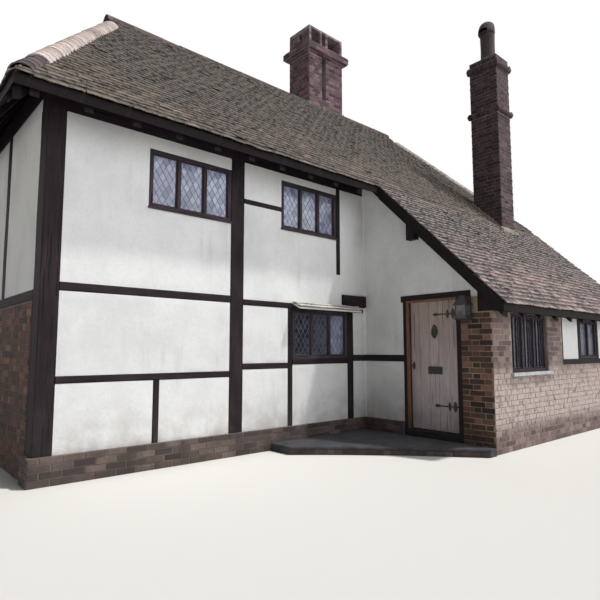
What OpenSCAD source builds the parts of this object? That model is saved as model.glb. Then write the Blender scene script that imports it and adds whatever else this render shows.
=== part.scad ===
// Half timbered house with a hipped tile roof that runs down over a low outshut at the front.
// Millimetres, +Z up. The origin is on the ground, under the middle of the main block.
// Inside the modules all places are counted from the main block's front left corner:
// +X along the front, +Y towards the back, the outshut at negative Y.

/* [Main block] */
// Length of the main block, outside the end walls
main_length = 10120; // [9800:10:11500]
// Depth of the main block, outside the walls
main_depth = 5030; // [4600:10:5600]
// Height of the brick plinth
plinth_h = 290; // [200:10:400]
// How far the plinth stands out from the walls
plinth_out = 40; // [10:5:70]
// Height of the ground floor above the ground
floor_h = 195; // [150:5:205]
// Top of the first floor boards
upper_floor_z = 2250; // [2200:10:2400]
// Thickness of the first floor
upper_floor_t = 140; // [100:5:180]
// Width of the studs in the end walls
end_stud_w = 160; // [120:5:220]

/* [Roof] */
// Pitch of the long slopes in degrees
roof_pitch = 44.5; // [42:0.5:48]
// Plan run of a hip slope for each unit of run of a long slope
hip_run = 0.70; // [0.6:0.01:0.9]
// Height of the tile edge at the main eaves
eaves_z = 3984; // [3950:2:4100]
// Overhang of the main eaves, front and back
eaves_out = 450; // [300:10:500]
// Overhang of the eaves at both ends
end_out = 430; // [300:10:500]
// Upright thickness of the tiles and battens
tile_v = 110; // [80:5:140]
// Upright depth of the rafters
rafter_v = 100; // [80:5:140]
// Width of a rafter
rafter_w = 90; // [60:5:120]
// Spacing of the rafters
rafter_gap = 520; // [400:10:700]
// How far the ridge runs out past each hip, as a gablet
gablet_out = 195; // [120:5:300]
// Radius of the ridge tiles
ridge_r = 125; // [100:5:160]
// Radius of the bonnet tiles on the hips
bonnet_r = 140; // [110:5:180]
// How far the middle of the ridge and bonnet tiles lies below the ridge and hip lines
capping_drop = 40; // [20:5:60]
// Thickness of the ridge board
ridge_board_t = 30; // [20:1:50]
// Upright depth of the ridge board
ridge_board_h = 190; // [150:5:260]
// Width of the hip rafters
hip_rafter_w = 70; // [50:5:100]
// Upright depth of the hip rafters
hip_rafter_v = 190; // [160:5:240]
// Thickness of the gablet boards
gablet_t = 60; // [30:5:80]
// Distance from the tile edge to the middle of the first rafter
rafter_first = 200; // [150:5:300]
// How far the rafter ends lie behind the tile edge
rafter_end = 40; // [20:5:80]
// Clearance of the rafters round a chimney
trimmer_gap = 40; // [30:5:80]

/* [Outshut] */
// Where the door wall stands, from the left end
outshut_x = 4987; // [4950:1:5200]
// How far the outshut comes forward
outshut_depth = 2246; // [2200:2:2400]
// Overhang of the low eaves
low_eaves_out = 250; // [150:10:350]
// Overhang of the tiles at the left verge
verge_out = 147; // [130:1:250]
// Depth of the bargeboard under the verge
barge_h = 210; // [150:10:260]
// Thickness of the bargeboard
barge_t = 35; // [20:1:50]
// How far the bargeboard lies behind the verge
barge_in = 10; // [5:1:30]
// Depth of the low wall plate at its front face
low_plate_h = 119; // [90:1:150]
// Distance from the door wall to the low window
low_window_in = 522; // [480:2:600]
// Width of the low window
low_window_w = 1151; // [1000:1:1250]
// Sill of the low window
low_window_z = 1050; // [1000:5:1150]
// Width of the brickwork right of that window
low_brick_w = 530; // [400:5:600]
// Top of the brickwork farther right
low_sill_z = 1133; // [1100:1:1200]
// Height of the timber sill on it
low_rail_h = 85; // [60:1:110]
// Width of the stud against the brickwork
low_stud_w = 40; // [30:1:60]
// Width of the panel beside that stud
low_panel_w = 632; // [550:2:700]
// Width of the post left of the right window
low_post_left = 88; // [60:1:110]
// Width of the post right of the right window
low_post_right = 70; // [60:1:110]
// Width of the right window
right_window_w = 740; // [650:5:800]
// How far the painted sill stands out
sill_out = 50; // [30:5:80]
// Thickness of the painted sill
sill_t = 45; // [30:5:70]
// Depth of the purlin
purlin_h = 170; // [120:5:220]
// Width of the purlin
purlin_w = 150; // [100:5:180]
// Distance of the purlin's middle in front of the main wall
purlin_run = 1025; // [900:5:1100]

/* [Timber frame] */
// Depth of the wall timbers
timber_d = 200; // [160:5:210]
// Width of the corner posts
corner_w = 200; // [160:5:240]
// Left edge of the middle post
mid_post_x = 2336; // [2300:1:2400]
// Width of the middle post
mid_post_w = 215; // [150:5:260]
// Depth of the wall plates
plate_h = 260; // [200:5:300]
// How far the plaster lies behind the timber faces
panel_in = 12; // [4:1:25]
// Thickness of the plain brick walls
brick_t = 220; // [215:1:300]
// Height of the beam over that brick
end_beam_h = 120; // [90:5:150]
// Height of a rail
rail_h = 80; // [60:2:90]
// Top of the low rail in the left bay
low_rail_left_z = 1093; // [1050:1:1140]
// Top of the low rail in the right bay
low_rail_right_z = 1185; // [1150:1:1230]
// Height of the rail between floors
girt_h = 95; // [80:1:110]
// Underside of the rail between floors, left bay
girt_left_z = 1990; // [1980:1:2040]
// Underside of the rail between floors, right bay
girt_right_z = 1970; // [1960:1:2000]
// Height of the beam end beside the outshut
beam_end_h = 190; // [150:5:220]
// How far that beam end stands out
beam_end_out = 45; // [20:5:80]
// Length of that beam end
beam_end_l = 530; // [450:5:600]
// Depth of the corner posts
corner_d = 250; // [220:5:300]
// Width of the studs in the front wall
stud_w = 80; // [60:2:100]
// Left edge of the stud in the left bay
stud_x = 1280; // [1200:5:1400]
// Width of the post right of the upper right window
window_post_w = 90; // [70:2:110]
// Foot of that post
window_post_z = 2560; // [2400:10:2700]
// Underside of the short rail left of the upper right window
upper_rail_z = 3375; // [3300:5:3450]
// Height of that short rail
upper_rail_h = 70; // [50:2:90]

/* [Windows] */
// Width of a window frame's members
frame_w = 55; // [40:1:70]
// Depth of a window frame
frame_d = 110; // [80:5:120]
// Thickness of the glass
glass_t = 6; // [4:1:12]
// How far a window frame lies behind the timber faces
frame_in = 10; // [0:1:30]
// Height of the upper left window
window_a_h = 726; // [650:2:800]
// Width of the upper left window
window_a_w = 1175; // [1000:5:1300]
// Sill of the upper left window
window_a_z = 3071; // [3000:1:3100]
// Left edge of the upper right window
window_b_x = 3208; // [3150:2:3250]
// Width of the upper right window
window_b_w = 1131; // [1050:2:1150]
// Sill of the upper right window
window_b_z = 3130; // [3080:2:3180]
// Left edge of the low window
window_c_x = 3426; // [3400:2:3450]
// Width of the low window
window_c_w = 1151; // [1100:2:1200]
// Sill of the low window
window_c_z = 1235; // [1220:1:1300]
// Width of the post left of the low window
window_c_post_left = 91; // [70:1:110]
// Width of the post right of the low window
window_c_post_right = 140; // [100:2:160]
// How far the little hood stands out over the low window
hood_out = 150; // [100:5:250]
// Fall of the little hood
hood_fall = 70; // [50:5:100]
// Thickness of the little hood
hood_t = 25; // [20:1:40]
// Width of a casement's members
sash_w = 30; // [20:1:40]
// Thickness of a casement
sash_d = 40; // [30:1:50]
// How far a casement lies behind the front of its frame
sash_in = 18; // [10:1:30]

/* [Door] */
// Distance from the main wall to the door opening
door_from_wall = 878; // [850:1:950]
// Width of the door opening
door_w = 839; // [800:1:860]
// Underside of the lintel
door_head_z = 2100; // [2060:2:2120]
// Height of the lintel
lintel_h = 94; // [70:1:110]
// Width of the door post next to the main wall
door_post_w = 96; // [70:1:120]
// Width of the door post at the brick pier
pier_post_w = 65; // [50:1:90]
// Thickness of the door
leaf_t = 45; // [35:1:60]
// How far the door lies behind the outer face
leaf_in = 60; // [40:1:90]
// Gap round the door
leaf_gap = 8; // [6:0.5:10]
// Distance of the hinge pin from the door's inner face and from the post
pin_off = 16; // [15:0.5:18]
// Radius of the hinge pins
pin_r = 7; // [5:0.5:8]
// Running gap at the hinge pins
pin_gap = 0.3; // [0.2:0.1:0.5]
// Height of a hinge barrel
barrel_h = 90; // [60:5:120]
// Distance of the lower hinge above the floor
hinge_low = 325; // [250:5:400]
// Distance of the upper hinge below the lintel
hinge_high = 260; // [200:5:300]
// Length of the straps behind the door
band_l = 520; // [400:10:600]
// Height of the straps
band_h = 50; // [30:2:60]
// Thickness of the straps and plates
iron_t = 6; // [4:1:10]
// How far a door stop stands into the opening
stop_w = 15; // [12:1:25]
// Thickness of a door stop
stop_t = 20; // [12:1:25]
// Gap between the closed door and its stops
stop_gap = 7; // [6:0.5:9]
// Height of the ledges behind the door
ledge_h = 110; // [80:5:140]
// Thickness of those ledges
ledge_t = 22; // [15:1:25]
// Part of the brick pier that the lintel bears on
lintel_bearing = 0.6; // [0.3:0.05:0.9]
// How far the lintel runs past the left door post
lintel_end = 32; // [0:2:60]
// Underside of the rail beside the door
door_rail_z = 1190; // [1150:5:1250]
// Height of that rail
door_rail_h = 100; // [70:5:120]
// How far the threshold stands out
threshold_out = 20; // [0:5:40]
// How far the threshold rises above the floor
threshold_up = 8; // [5:1:20]
// Length of the decorated straps on the outside of the door
strap_l = 410; // [350:5:450]
// Width and height of the letter plate
letter_plate = [240, 110];
// Height of the knocker
knocker_h = 215; // [160:5:240]
// Width of the lantern
lantern_w = 190; // [150:5:220]
// Height of the lantern
lantern_h = 330; // [250:5:360]
// How far the lantern stands out
lantern_out = 200; // [150:5:250]
// Underside of the lantern
lantern_z = 1780; // [1700:5:1850]
// Height of the step
step_h = 100; // [80:5:140]
// How far the step runs along the main wall from the door wall
step_run = 1987; // [1700:10:2200]
// Depth of the step at that end
step_end_d = 430; // [350:10:500]
// How far the step stands out beside the brick pier
step_side = 187; // [150:1:300]

/* [Chimneys] */
// Left face of the ridge chimney
stack_x = 6085; // [6000:5:6200]
// Width of the ridge chimney
stack_w = 1065; // [1000:5:1100]
// Depth of the ridge chimney
stack_d = 690; // [600:5:750]
// Distance of its front face behind the ridge
stack_back = 35; // [30:5:100]
// Top of the ridge chimney
stack_top_z = 8830; // [8750:5:8900]
// Width of its left shaft
left_shaft_w = 400; // [350:5:440]
// Width of the recess between its shafts
recess_w = 120; // [80:5:160]
// Depth of that recess
recess_d = 150; // [100:5:200]
// Distance of the corbel band's underside below the top
corbel_drop = 860; // [800:5:900]
// Height of the corbel band
corbel_h = 270; // [220:5:300]
// How far the corbel band stands out
corbel_out = 110; // [80:5:130]
// Height of the slanting edges of the corbel band
corbel_edge = 65; // [40:5:90]
// Thickness of the walls round the open tops
jamb_t = 65; // [50:5:100]
// Rise of the sloping ledges in the open tops
ledge_rise = 210; // [150:5:250]
// Distance of the outer chimney's left face from the right end of the house
shaft_from_end = 1540; // [1450:5:1650]
// Width of the outer chimney
shaft_w = 520; // [450:5:600]
// Depth of the outer chimney
shaft_d = 620; // [550:5:680]
// Top of the outer chimney's brickwork
shaft_top_z = 7680; // [7600:5:7750]
// Distance of the rounded string course below the top
string_drop = 1280; // [1200:10:1400]
// Height of the string course
string_h = 110; // [80:5:140]
// How far the string course stands out
string_out = 55; // [30:5:80]
// Distance of the crown course below the top
crown_drop = 260; // [220:5:300]
// Height of the crown course
crown_h = 140; // [100:5:180]
// How far the crown course stands out
crown_out = 50; // [30:5:70]
// Height of the mortar round the pot
mortar_h = 60; // [40:5:90]
// Outer radius of the chimney pot
pot_r = 155; // [120:5:180]
// Thickness of the pot's wall
pot_t = 30; // [20:1:40]
// Height of the chimney pot's straight part
pot_h = 600; // [550:5:650]
// Height of the ring on the pot
ring_z = 470; // [430:5:490]
// Thickness of that ring
ring_h = 40; // [30:5:50]
// How far the ring stands out
ring_out = 18; // [10:1:30]
// Height of the cowl over the pot
cowl_h = 390; // [350:5:420]
// How far the cowl's tip hangs out to the left
cowl_out = 80; // [50:5:110]

/* [Hidden] */
fine = 48;
// Gap between sloping faces that rest on each other
seat_gap = 0.2;

slope = tan(roof_pitch);
hip_slope = slope / hip_run;
ridge_y = main_depth / 2;
ridge_z = eaves_z + slope * (ridge_y + eaves_out);
under_v = tile_v + rafter_v;
hip_x = -end_out + hip_run * (ridge_y + eaves_out);
gablet_x = hip_x - gablet_out;
gablet_run = (gablet_x + end_out) / hip_run;
low_y = -outshut_depth - low_eaves_out;
verge_x = outshut_x - verge_out;
right_x = main_length + end_out;
plate_z = eaves_z + slope * eaves_out - under_v - plate_h;
end_plate_z = eaves_z + hip_slope * end_out - under_v - plate_h;
low_plate_z = front_z(-outshut_depth) - under_v - low_plate_h;
end_brick_h = low_plate_z;
end_beam_top = end_brick_h + end_beam_h;
shaft_x = main_length - shaft_from_end;
stack_y = ridge_y + stack_back;
stack_corbel_z = stack_top_z - corbel_drop;
beam_end_z = girt_right_z + rail_h + 10;
end_stud_y = [for (i = [1, 2]) main_depth * i / 3 - end_stud_w / 2];
inner_x = main_length - timber_d;
rear_in = main_depth - timber_d;
wood = [0.13, 0.10, 0.085];
plaster = [0.86, 0.84, 0.79];
brick = [0.50, 0.29, 0.22];
tile = [0.36, 0.29, 0.25];
iron = [0.05, 0.05, 0.055];

// Height of the tile surface of the front slope at a distance y behind the main wall
function front_z(y) = eaves_z + slope * (y + eaves_out);

module from_corner() {
    translate([-main_length / 2, -main_depth / 2, 0]) children();
}

// A box between two corners
module span(low, high) {
    translate(low) cube(high - low);
}

// A profile in Y and Z, carried along X
module along_x(x0, x1, points) {
    translate([x0, 0, 0]) rotate([90, 0, 90]) linear_extrude(x1 - x0) polygon(points);
}

// A profile in X and Z, carried along Y
module along_y(y0, y1, points) {
    translate([0, y1, 0]) rotate([90, 0, 0]) linear_extrude(y1 - y0) polygon(points);
}

// The space under the roof, drop below the tile surface
module under_roof(drop) {
    intersection() {
        along_x(-end_out, right_x, [[low_y, 0], [low_y, front_z(low_y) - drop], [ridge_y, ridge_z - drop],
            [main_depth + eaves_out, eaves_z - drop], [main_depth + eaves_out, 0]]);
        along_y(low_y, main_depth + eaves_out, [[-end_out, 0], [-end_out, eaves_z - drop],
            [hip_x, ridge_z - drop], [main_length - hip_x, ridge_z - drop], [right_x, eaves_z - drop], [right_x, 0]]);
    }
}

// The same space under the long slopes alone
module under_long(x0, x1, drop) {
    along_x(x0, x1, [[low_y, 0], [low_y, front_z(low_y) - drop], [ridge_y, ridge_z - drop],
        [main_depth + eaves_out, eaves_z - drop], [main_depth + eaves_out, 0]]);
}

// The way of both chimneys through floors and roofs, with some clearance all round
module chimney_spaces(clear = 0) {
    span([stack_x - clear, stack_y - clear, 0],
        [stack_x + stack_w + clear, stack_y + stack_d + clear, stack_top_z]);
    span([shaft_x - clear, -shaft_d - clear, 0], [shaft_x + shaft_w + clear, clear, shaft_top_z]);
}

// Floors and plinths

module ground_floor() {
    color([0.55, 0.50, 0.45]) from_corner() difference() {
        span([brick_t, corner_d, 0], [main_length - brick_t, main_depth - corner_d, floor_h]);
        chimney_spaces();
    }
}

module outshut_floor() {
    color([0.55, 0.50, 0.45]) from_corner() difference() {
        span([outshut_x + corner_d, -outshut_depth + brick_t, 0], [main_length - brick_t, corner_d, floor_h]);
        chimney_spaces();
    }
}

module first_floor() {
    color([0.35, 0.25, 0.17]) from_corner() difference() {
        span([timber_d, timber_d, upper_floor_z - upper_floor_t], [inner_x, rear_in, upper_floor_z]);
        chimney_spaces();
    }
}

module front_plinth() {
    color(brick) from_corner()
        span([-plinth_out, -plinth_out, 0], [outshut_x + corner_d, corner_d, plinth_h]);
}

module other_plinths() {
    color(brick) from_corner() {
        span([-plinth_out, main_depth - corner_d, 0],
            [main_length + plinth_out, main_depth + plinth_out, plinth_h]);
        span([outshut_x - plinth_out, door_post_y, 0], [outshut_x + corner_d, -plinth_out, plinth_h]);
    }
}

// Front wall. Each member is its left, right, bottom and top edge on the wall.

window_a = [mid_post_x - window_a_w, mid_post_x, window_a_z, window_a_z + window_a_h];
window_b = [window_b_x, window_b_x + window_b_w, window_b_z, window_b_z + window_a_h];
window_c = [window_c_x, window_c_x + window_c_w, window_c_z, girt_right_z];
mid_post_r = mid_post_x + mid_post_w;
front_post_list = [
    [mid_post_x, mid_post_r, plinth_h, plate_z],
    [outshut_x, outshut_x + timber_d, plinth_h, plate_z],
    [window_c[0] - window_c_post_left, window_c[0], plinth_h, girt_right_z],
    [window_c[1], window_c[1] + window_c_post_right, plinth_h, girt_right_z],
    [stud_x, stud_x + stud_w, plinth_h, low_rail_left_z - rail_h],
    [window_b[1], window_b[1] + window_post_w, window_post_z, plate_z]];
front_rail_list = [
    [corner_w, mid_post_x, low_rail_left_z - rail_h, low_rail_left_z],
    [corner_w, mid_post_x, girt_left_z, girt_left_z + girt_h],
    [mid_post_r, window_c[0] - window_c_post_left, low_rail_right_z - rail_h, low_rail_right_z],
    [mid_post_r, outshut_x, girt_right_z, girt_right_z + rail_h],
    [mid_post_r, window_b[0], upper_rail_z, upper_rail_z + upper_rail_h],
    [window_c[0], window_c[1], window_c[2] - rail_h, window_c[2]],
    [window_c[1] + window_c_post_right, outshut_x, door_rail_z, door_rail_z + door_rail_h]];

module members(list, y0, y1) {
    for (m = list) span([m[0], y0, m[2]], [m[1], y1, m[3]]);
}

module beam_end() {
    span([outshut_x - beam_end_l, -beam_end_out, beam_end_z],
        [outshut_x, timber_d, beam_end_z + beam_end_h]);
}

module front_posts() {
    color(wood) from_corner() {
        span([0, 0, plinth_h], [corner_w, corner_d, plate_z]);
        members(front_post_list, 0, timber_d);
    }
}

module front_rails() {
    color(wood) from_corner() {
        members(front_rail_list, 0, timber_d);
        beam_end();
    }
}

module front_panels() {
    color(plaster) from_corner() difference() {
        span([corner_w, panel_in, plinth_h], [outshut_x, timber_d, plate_z]);
        members(front_post_list, 0, timber_d);
        members(front_rail_list, 0, timber_d);
        members([window_a, window_b, window_c], 0, timber_d);
        beam_end();
    }
}

// A window frame between its edges, with upright bars that part it into lights and a casement in each
module window_frame(w, lights, y0, sash_y) {
    difference() {
        span([w[0], y0, w[2]], [w[1], y0 + frame_d, w[3]]);
        for (i = [0:lights - 1]) {
            light_space(w, lights, i, 0, y0, sash_y);
            light_space(w, lights, i, sash_w, y0, y0 + frame_d);
            light_space(w, lights, i, 0, sash_y + sash_d, y0 + frame_d);
        }
    }
}

// The space of one light between two depths, smaller all round by an edge
module light_space(w, lights, i, edge, y0, y1) {
    light_w = (w[1] - w[0] - frame_w) / lights;
    span([w[0] + frame_w + i * light_w + edge, y0, w[2] + frame_w + edge],
        [w[0] + (i + 1) * light_w - edge, y1, w[3] - frame_w - edge]);
}

module window_panes(w, lights, sash_y) {
    for (i = [0:lights - 1])
        light_space(w, lights, i, sash_w, sash_y + (sash_d - glass_t) / 2, sash_y + (sash_d + glass_t) / 2);
}

module window_hood() {
    top = beam_end_z - 2;
    color(wood) from_corner()
        along_x(window_c[0], window_c[1] + window_c_post_right + 40, [[0, top], [-hood_out, top - hood_fall],
            [-hood_out, top - hood_fall - hood_t], [0, top - hood_t]]);
}

// End walls, the right one of the main block and the outshut together

// Rear wall, with one window in the middle of each bay

rear_post_x = [0, mid_post_x, outshut_x, (outshut_x + main_length - corner_w) / 2, main_length - corner_w];
rear_window_list = [for (i = [0:3])
    let (x = (rear_post_x[i] + corner_w + rear_post_x[i + 1] - window_a_w) / 2)
    i % 2 == 0 ? [x, x + window_a_w, window_a_z, window_a_z + window_a_h]
        : [x, x + window_a_w, window_c_z, girt_left_z]];

module rear_rail_boxes() {
    for (i = [0:3]) {
        span([rear_post_x[i] + corner_w, rear_in, girt_left_z],
            [rear_post_x[i + 1], main_depth, girt_left_z + girt_h]);
        span([rear_post_x[i] + corner_w, rear_in, low_rail_left_z - rail_h],
            [rear_post_x[i + 1], main_depth, low_rail_left_z]);
    }
}

module rear_frame() {
    color(wood) from_corner() {
        for (x = rear_post_x) span([x, rear_in, plinth_h], [x + corner_w, main_depth, plate_z]);
        rear_rail_boxes();
    }
}

module rear_panels() {
    color(plaster) from_corner() difference() {
        span([corner_w, rear_in, plinth_h], [main_length - corner_w, main_depth - panel_in, plate_z]);
        for (x = rear_post_x) span([x, rear_in, plinth_h], [x + corner_w, main_depth, plate_z]);
        rear_rail_boxes();
        members(rear_window_list, rear_in, main_depth);
    }
}

module end_wall_brick() {
    color(brick) from_corner() {
        span([0, corner_d, 0], [brick_t, main_depth - corner_d, end_brick_h]);
        span([main_length - brick_t, -outshut_depth, 0], [main_length, main_depth - corner_d, end_brick_h]);
    }
}

module end_wall_beams() {
    color(wood) from_corner() {
        span([0, corner_d, end_brick_h], [timber_d, rear_in, end_beam_top]);
        span([inner_x, -outshut_depth + timber_d, end_brick_h], [main_length, rear_in, end_beam_top]);
        span([inner_x, 0, end_beam_top], [main_length, timber_d, plate_z - seat_gap]);
        end_studs();
    }
}

// Studs over the beams of both end walls
module end_studs() {
    for (y = end_stud_y) {
        span([0, y, end_beam_top], [timber_d, y + end_stud_w, end_plate_z]);
        span([inner_x, y, end_beam_top], [main_length, y + end_stud_w, end_plate_z]);
    }
}

module end_wall_panels() {
    color(plaster) from_corner() difference() {
        union() {
            span([panel_in, corner_d, end_beam_top], [timber_d, rear_in, end_plate_z]);
            span([inner_x, timber_d, end_beam_top], [main_length - panel_in, rear_in, end_plate_z]);
            intersection() {
                span([inner_x, -outshut_depth + timber_d, end_beam_top],
                    [main_length - panel_in, 0, ridge_z]);
                under_roof(under_v + seat_gap);
            }
        }
        end_studs();
    }
}

module plate_solids() {
    intersection() {
        union() {
            span([0, 0, plate_z], [main_length, timber_d, ridge_z]);
            span([0, rear_in, plate_z], [main_length, main_depth, ridge_z]);
            span([0, timber_d, end_plate_z], [timber_d, rear_in, ridge_z]);
            span([inner_x, timber_d, end_plate_z], [main_length, rear_in, ridge_z]);
        }
        under_roof(under_v + seat_gap);
    }
}

module wall_plates() {
    color(wood) from_corner() plate_solids();
}

// Door wall, facing left, with the front door

door_right_y = -door_from_wall - door_w;
door_post_y = -door_from_wall + door_post_w;
pier_left_y = door_right_y - pier_post_w;
lintel_left_y = door_post_y + lintel_end;
lintel_right_y = pier_left_y - lintel_bearing * (outshut_depth - timber_d + pier_left_y);

module door_posts() {
    stop_x = leaf_x - stop_gap;
    color(wood) from_corner() {
        span([outshut_x, -door_from_wall, 0], [outshut_x + timber_d, door_post_y, door_head_z]);
        span([outshut_x, pier_left_y, 0], [outshut_x + timber_d, door_right_y, door_head_z]);
        span([stop_x - stop_t, -door_from_wall - stop_w, floor_h + threshold_up],
            [stop_x, -door_from_wall, door_head_z]);
        span([stop_x - stop_t, door_right_y, floor_h + threshold_up],
            [stop_x, door_right_y + stop_w, door_head_z]);
    }
}

module lintel_space() {
    span([outshut_x, lintel_right_y, door_head_z], [outshut_x + timber_d, lintel_left_y, door_head_z + lintel_h]);
}

module door_rail() {
    span([outshut_x, door_post_y, door_rail_z], [outshut_x + timber_d, 0, door_rail_z + door_rail_h]);
}

module threshold() {
    color(wood) from_corner()
        span([outshut_x - threshold_out, door_right_y, 0],
            [outshut_x + timber_d, -door_from_wall, floor_h + threshold_up]);
}

module door_wall_beams() {
    stop_x = leaf_x - stop_gap;
    color(wood) from_corner() {
        intersection() {
            lintel_space();
            under_roof(under_v + seat_gap);
        }
        span([stop_x - stop_t, door_right_y + stop_w, door_head_z - stop_w],
            [stop_x, -door_from_wall - stop_w, door_head_z]);
        door_rail();
    }
}

// Plaster of the door wall between two places along it, from a height z0 up
module door_wall_plaster(y0, y1, z0) {
    difference() {
        intersection() {
            span([outshut_x + panel_in, y0, z0], [outshut_x + timber_d, y1, ridge_z]);
            under_roof(under_v + seat_gap);
        }
        span([outshut_x, -outshut_depth, 0], [outshut_x + timber_d, door_post_y, door_head_z]);
        lintel_space();
        door_rail();
        purlin_space(0);
    }
}

module over_door_panel() {
    color(plaster) from_corner()
        door_wall_plaster(-outshut_depth + timber_d, lintel_left_y, door_head_z);
}

// The purlin's outline, up to a drop below the tile surface
module purlin_space(drop) {
    y = -purlin_run;
    intersection() {
        span([verge_x + barge_in + barge_t, y - purlin_w / 2, front_z(y) - under_v - purlin_h],
            [inner_x, y + purlin_w / 2, ridge_z]);
        under_roof(drop);
    }
}

module purlin_and_girt() {
    color(wood) from_corner() {
        purlin_space(under_v + seat_gap);
        span([outshut_x + timber_d, 0, end_brick_h], [inner_x, timber_d, upper_floor_z]);
    }
}

module brick_pier() {
    color(brick) from_corner() difference() {
        intersection() {
            span([outshut_x, -outshut_depth, 0], [outshut_x + brick_t, pier_left_y, door_head_z]);
            under_roof(under_v + seat_gap);
        }
        span([outshut_x, -outshut_depth, low_plate_z],
            [outshut_x + brick_t, -outshut_depth + timber_d, ridge_z]);
    }
}

// Front wall of the outshut

low_window_x = outshut_x + low_window_in;
low_window = [low_window_x, low_window_x + low_window_w, low_window_z, low_plate_z];
low_pier_x = low_window[1] + low_brick_w;
low_rail_z = low_sill_z + low_rail_h;
low_wall_end = main_length - brick_t;
right_window_x = low_pier_x + low_stud_w + low_panel_w + low_post_left;
low_window_right = [right_window_x, right_window_x + right_window_w, low_rail_z, low_plate_z];
last_stud_x = (low_window_right[1] + low_post_right + low_wall_end - stud_w) / 2;
low_post_list = [
    [low_pier_x, low_pier_x + low_stud_w, low_rail_z, low_plate_z],
    [right_window_x - low_post_left, right_window_x, low_rail_z, low_plate_z],
    [low_window_right[1], low_window_right[1] + low_post_right, low_rail_z, low_plate_z],
    [last_stud_x, last_stud_x + stud_w, low_rail_z, low_plate_z]];

module outshut_brick() {
    color(brick) from_corner() difference() {
        span([outshut_x + brick_t, -outshut_depth, 0],
            [low_wall_end, -outshut_depth + brick_t, low_plate_z]);
        span([low_pier_x, -outshut_depth, low_sill_z],
            [low_wall_end, -outshut_depth + brick_t, low_plate_z]);
        members([low_window], -outshut_depth, -outshut_depth + brick_t);
    }
}

module outshut_timber() {
    color(wood) from_corner() {
        span([low_pier_x, -outshut_depth, low_sill_z],
            [low_wall_end, -outshut_depth + timber_d, low_rail_z]);
        members(low_post_list, -outshut_depth, -outshut_depth + timber_d);
        intersection() {
            span([outshut_x, -outshut_depth, low_plate_z], [main_length, -outshut_depth + timber_d, ridge_z]);
            under_roof(under_v + seat_gap);
        }
    }
}

module outshut_panels() {
    color(plaster) from_corner() {
        difference() {
            span([low_pier_x, -outshut_depth + panel_in, low_rail_z],
                [low_wall_end, -outshut_depth + timber_d, low_plate_z]);
            members(low_post_list, -outshut_depth, -outshut_depth + timber_d);
            members([low_window_right], -outshut_depth, -outshut_depth + timber_d);
        }
        door_wall_plaster(lintel_left_y, 0, plinth_h);
        difference() {
            span([outshut_x + panel_in, door_post_y, plinth_h],
                [outshut_x + timber_d, lintel_left_y, door_head_z]);
            door_rail();
        }
    }
}

module outshut_sills() {
    color([0.80, 0.78, 0.72]) from_corner()
        span([low_window[0] - sill_out, -outshut_depth - sill_out, low_window_z - sill_t],
            [low_window[1] + sill_out, -outshut_depth, low_window_z]);
}

// Windows: each is its edges, its number of lights, the front of its frame and of its casements

function front_window(w, lights, y0) = [w, lights, y0, y0 + sash_in];
function all_windows() = concat(
    [for (w = [window_a, window_b, window_c]) front_window(w, 3, frame_in)],
    [front_window(low_window, 3, -outshut_depth + 3 * frame_in)],
    [front_window(low_window_right, 2, -outshut_depth + frame_in)],
    [for (w = rear_window_list)
        [w, 3, main_depth - frame_d - frame_in, main_depth - frame_in - sash_in - sash_d]]);

module window_frames() {
    color([0.22, 0.15, 0.12]) from_corner()
        for (w = all_windows()) window_frame(w[0], w[1], w[2], w[3]);
}

module window_glass() {
    color([0.6, 0.7, 0.8]) from_corner()
        for (w = all_windows()) window_panes(w[0], w[1], w[3]);
}

// Front door. It swings inwards about pins on the post beside the brick pier.

leaf_x = outshut_x + leaf_in;
leaf_low = floor_h + threshold_up + 6;
leaf_top = door_head_z - leaf_gap;
leaf_right_y = door_right_y + 5;
pin_x = leaf_x + leaf_t + pin_off;
pin_y = door_right_y + pin_off;
hinge_z = [floor_h + hinge_low, door_head_z - hinge_high];
hinge_foot = 14;

// Ledged door: upright boards as one leaf, on three ledges
module front_door() {
    middle = (leaf_low + leaf_top) / 2;
    color([0.62, 0.57, 0.50]) from_corner() {
        span([leaf_x, leaf_right_y, leaf_low], [leaf_x + leaf_t, -door_from_wall - leaf_gap, leaf_top]);
        for (z = [leaf_low + ledge_h, middle, leaf_top - ledge_h])
            span([leaf_x + leaf_t, pin_y + 4 * pin_off, z - ledge_h / 2],
                [leaf_x + leaf_t + ledge_t, -door_from_wall - 4 * pin_off, z + ledge_h / 2]);
    }
}

module door_hinges() {
    color(iron) from_corner()
        for (z = hinge_z) difference() {
            union() {
                translate([pin_x, pin_y, z]) cylinder(h = barrel_h, r = pin_r + 5, $fn = fine);
                span([leaf_x + leaf_t, pin_y, z + (barrel_h - band_h) / 2],
                    [leaf_x + leaf_t + iron_t, pin_y + band_l, z + (barrel_h + band_h) / 2]);
                span([leaf_x + leaf_t + iron_t, pin_y - 4, z + (barrel_h - band_h) / 2],
                    [pin_x, pin_y + 4, z + (barrel_h + band_h) / 2]);
            }
            translate([pin_x, pin_y, z - 1]) cylinder(h = barrel_h + 2, r = pin_r + pin_gap, $fn = fine);
        }
}

module hinge_pins() {
    color(iron) from_corner()
        for (z = hinge_z) union() {
            translate([pin_x, pin_y, z - hinge_foot])
                cylinder(h = barrel_h + hinge_foot + pin_r, r = pin_r, $fn = fine);
            span([pin_x - 10, door_right_y, z - hinge_foot], [pin_x + 10, pin_y + 8, z - pin_gap]);
        }
}

// A leaf shape with two pointed ends, as two arcs that cross
module pointed_leaf(length, width) {
    r = (length * length + width * width) / (4 * width);
    intersection() {
        translate([0, r - width / 2]) circle(r = r, $fn = 2 * fine);
        translate([0, width / 2 - r]) circle(r = r, $fn = 2 * fine);
    }
}

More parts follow.
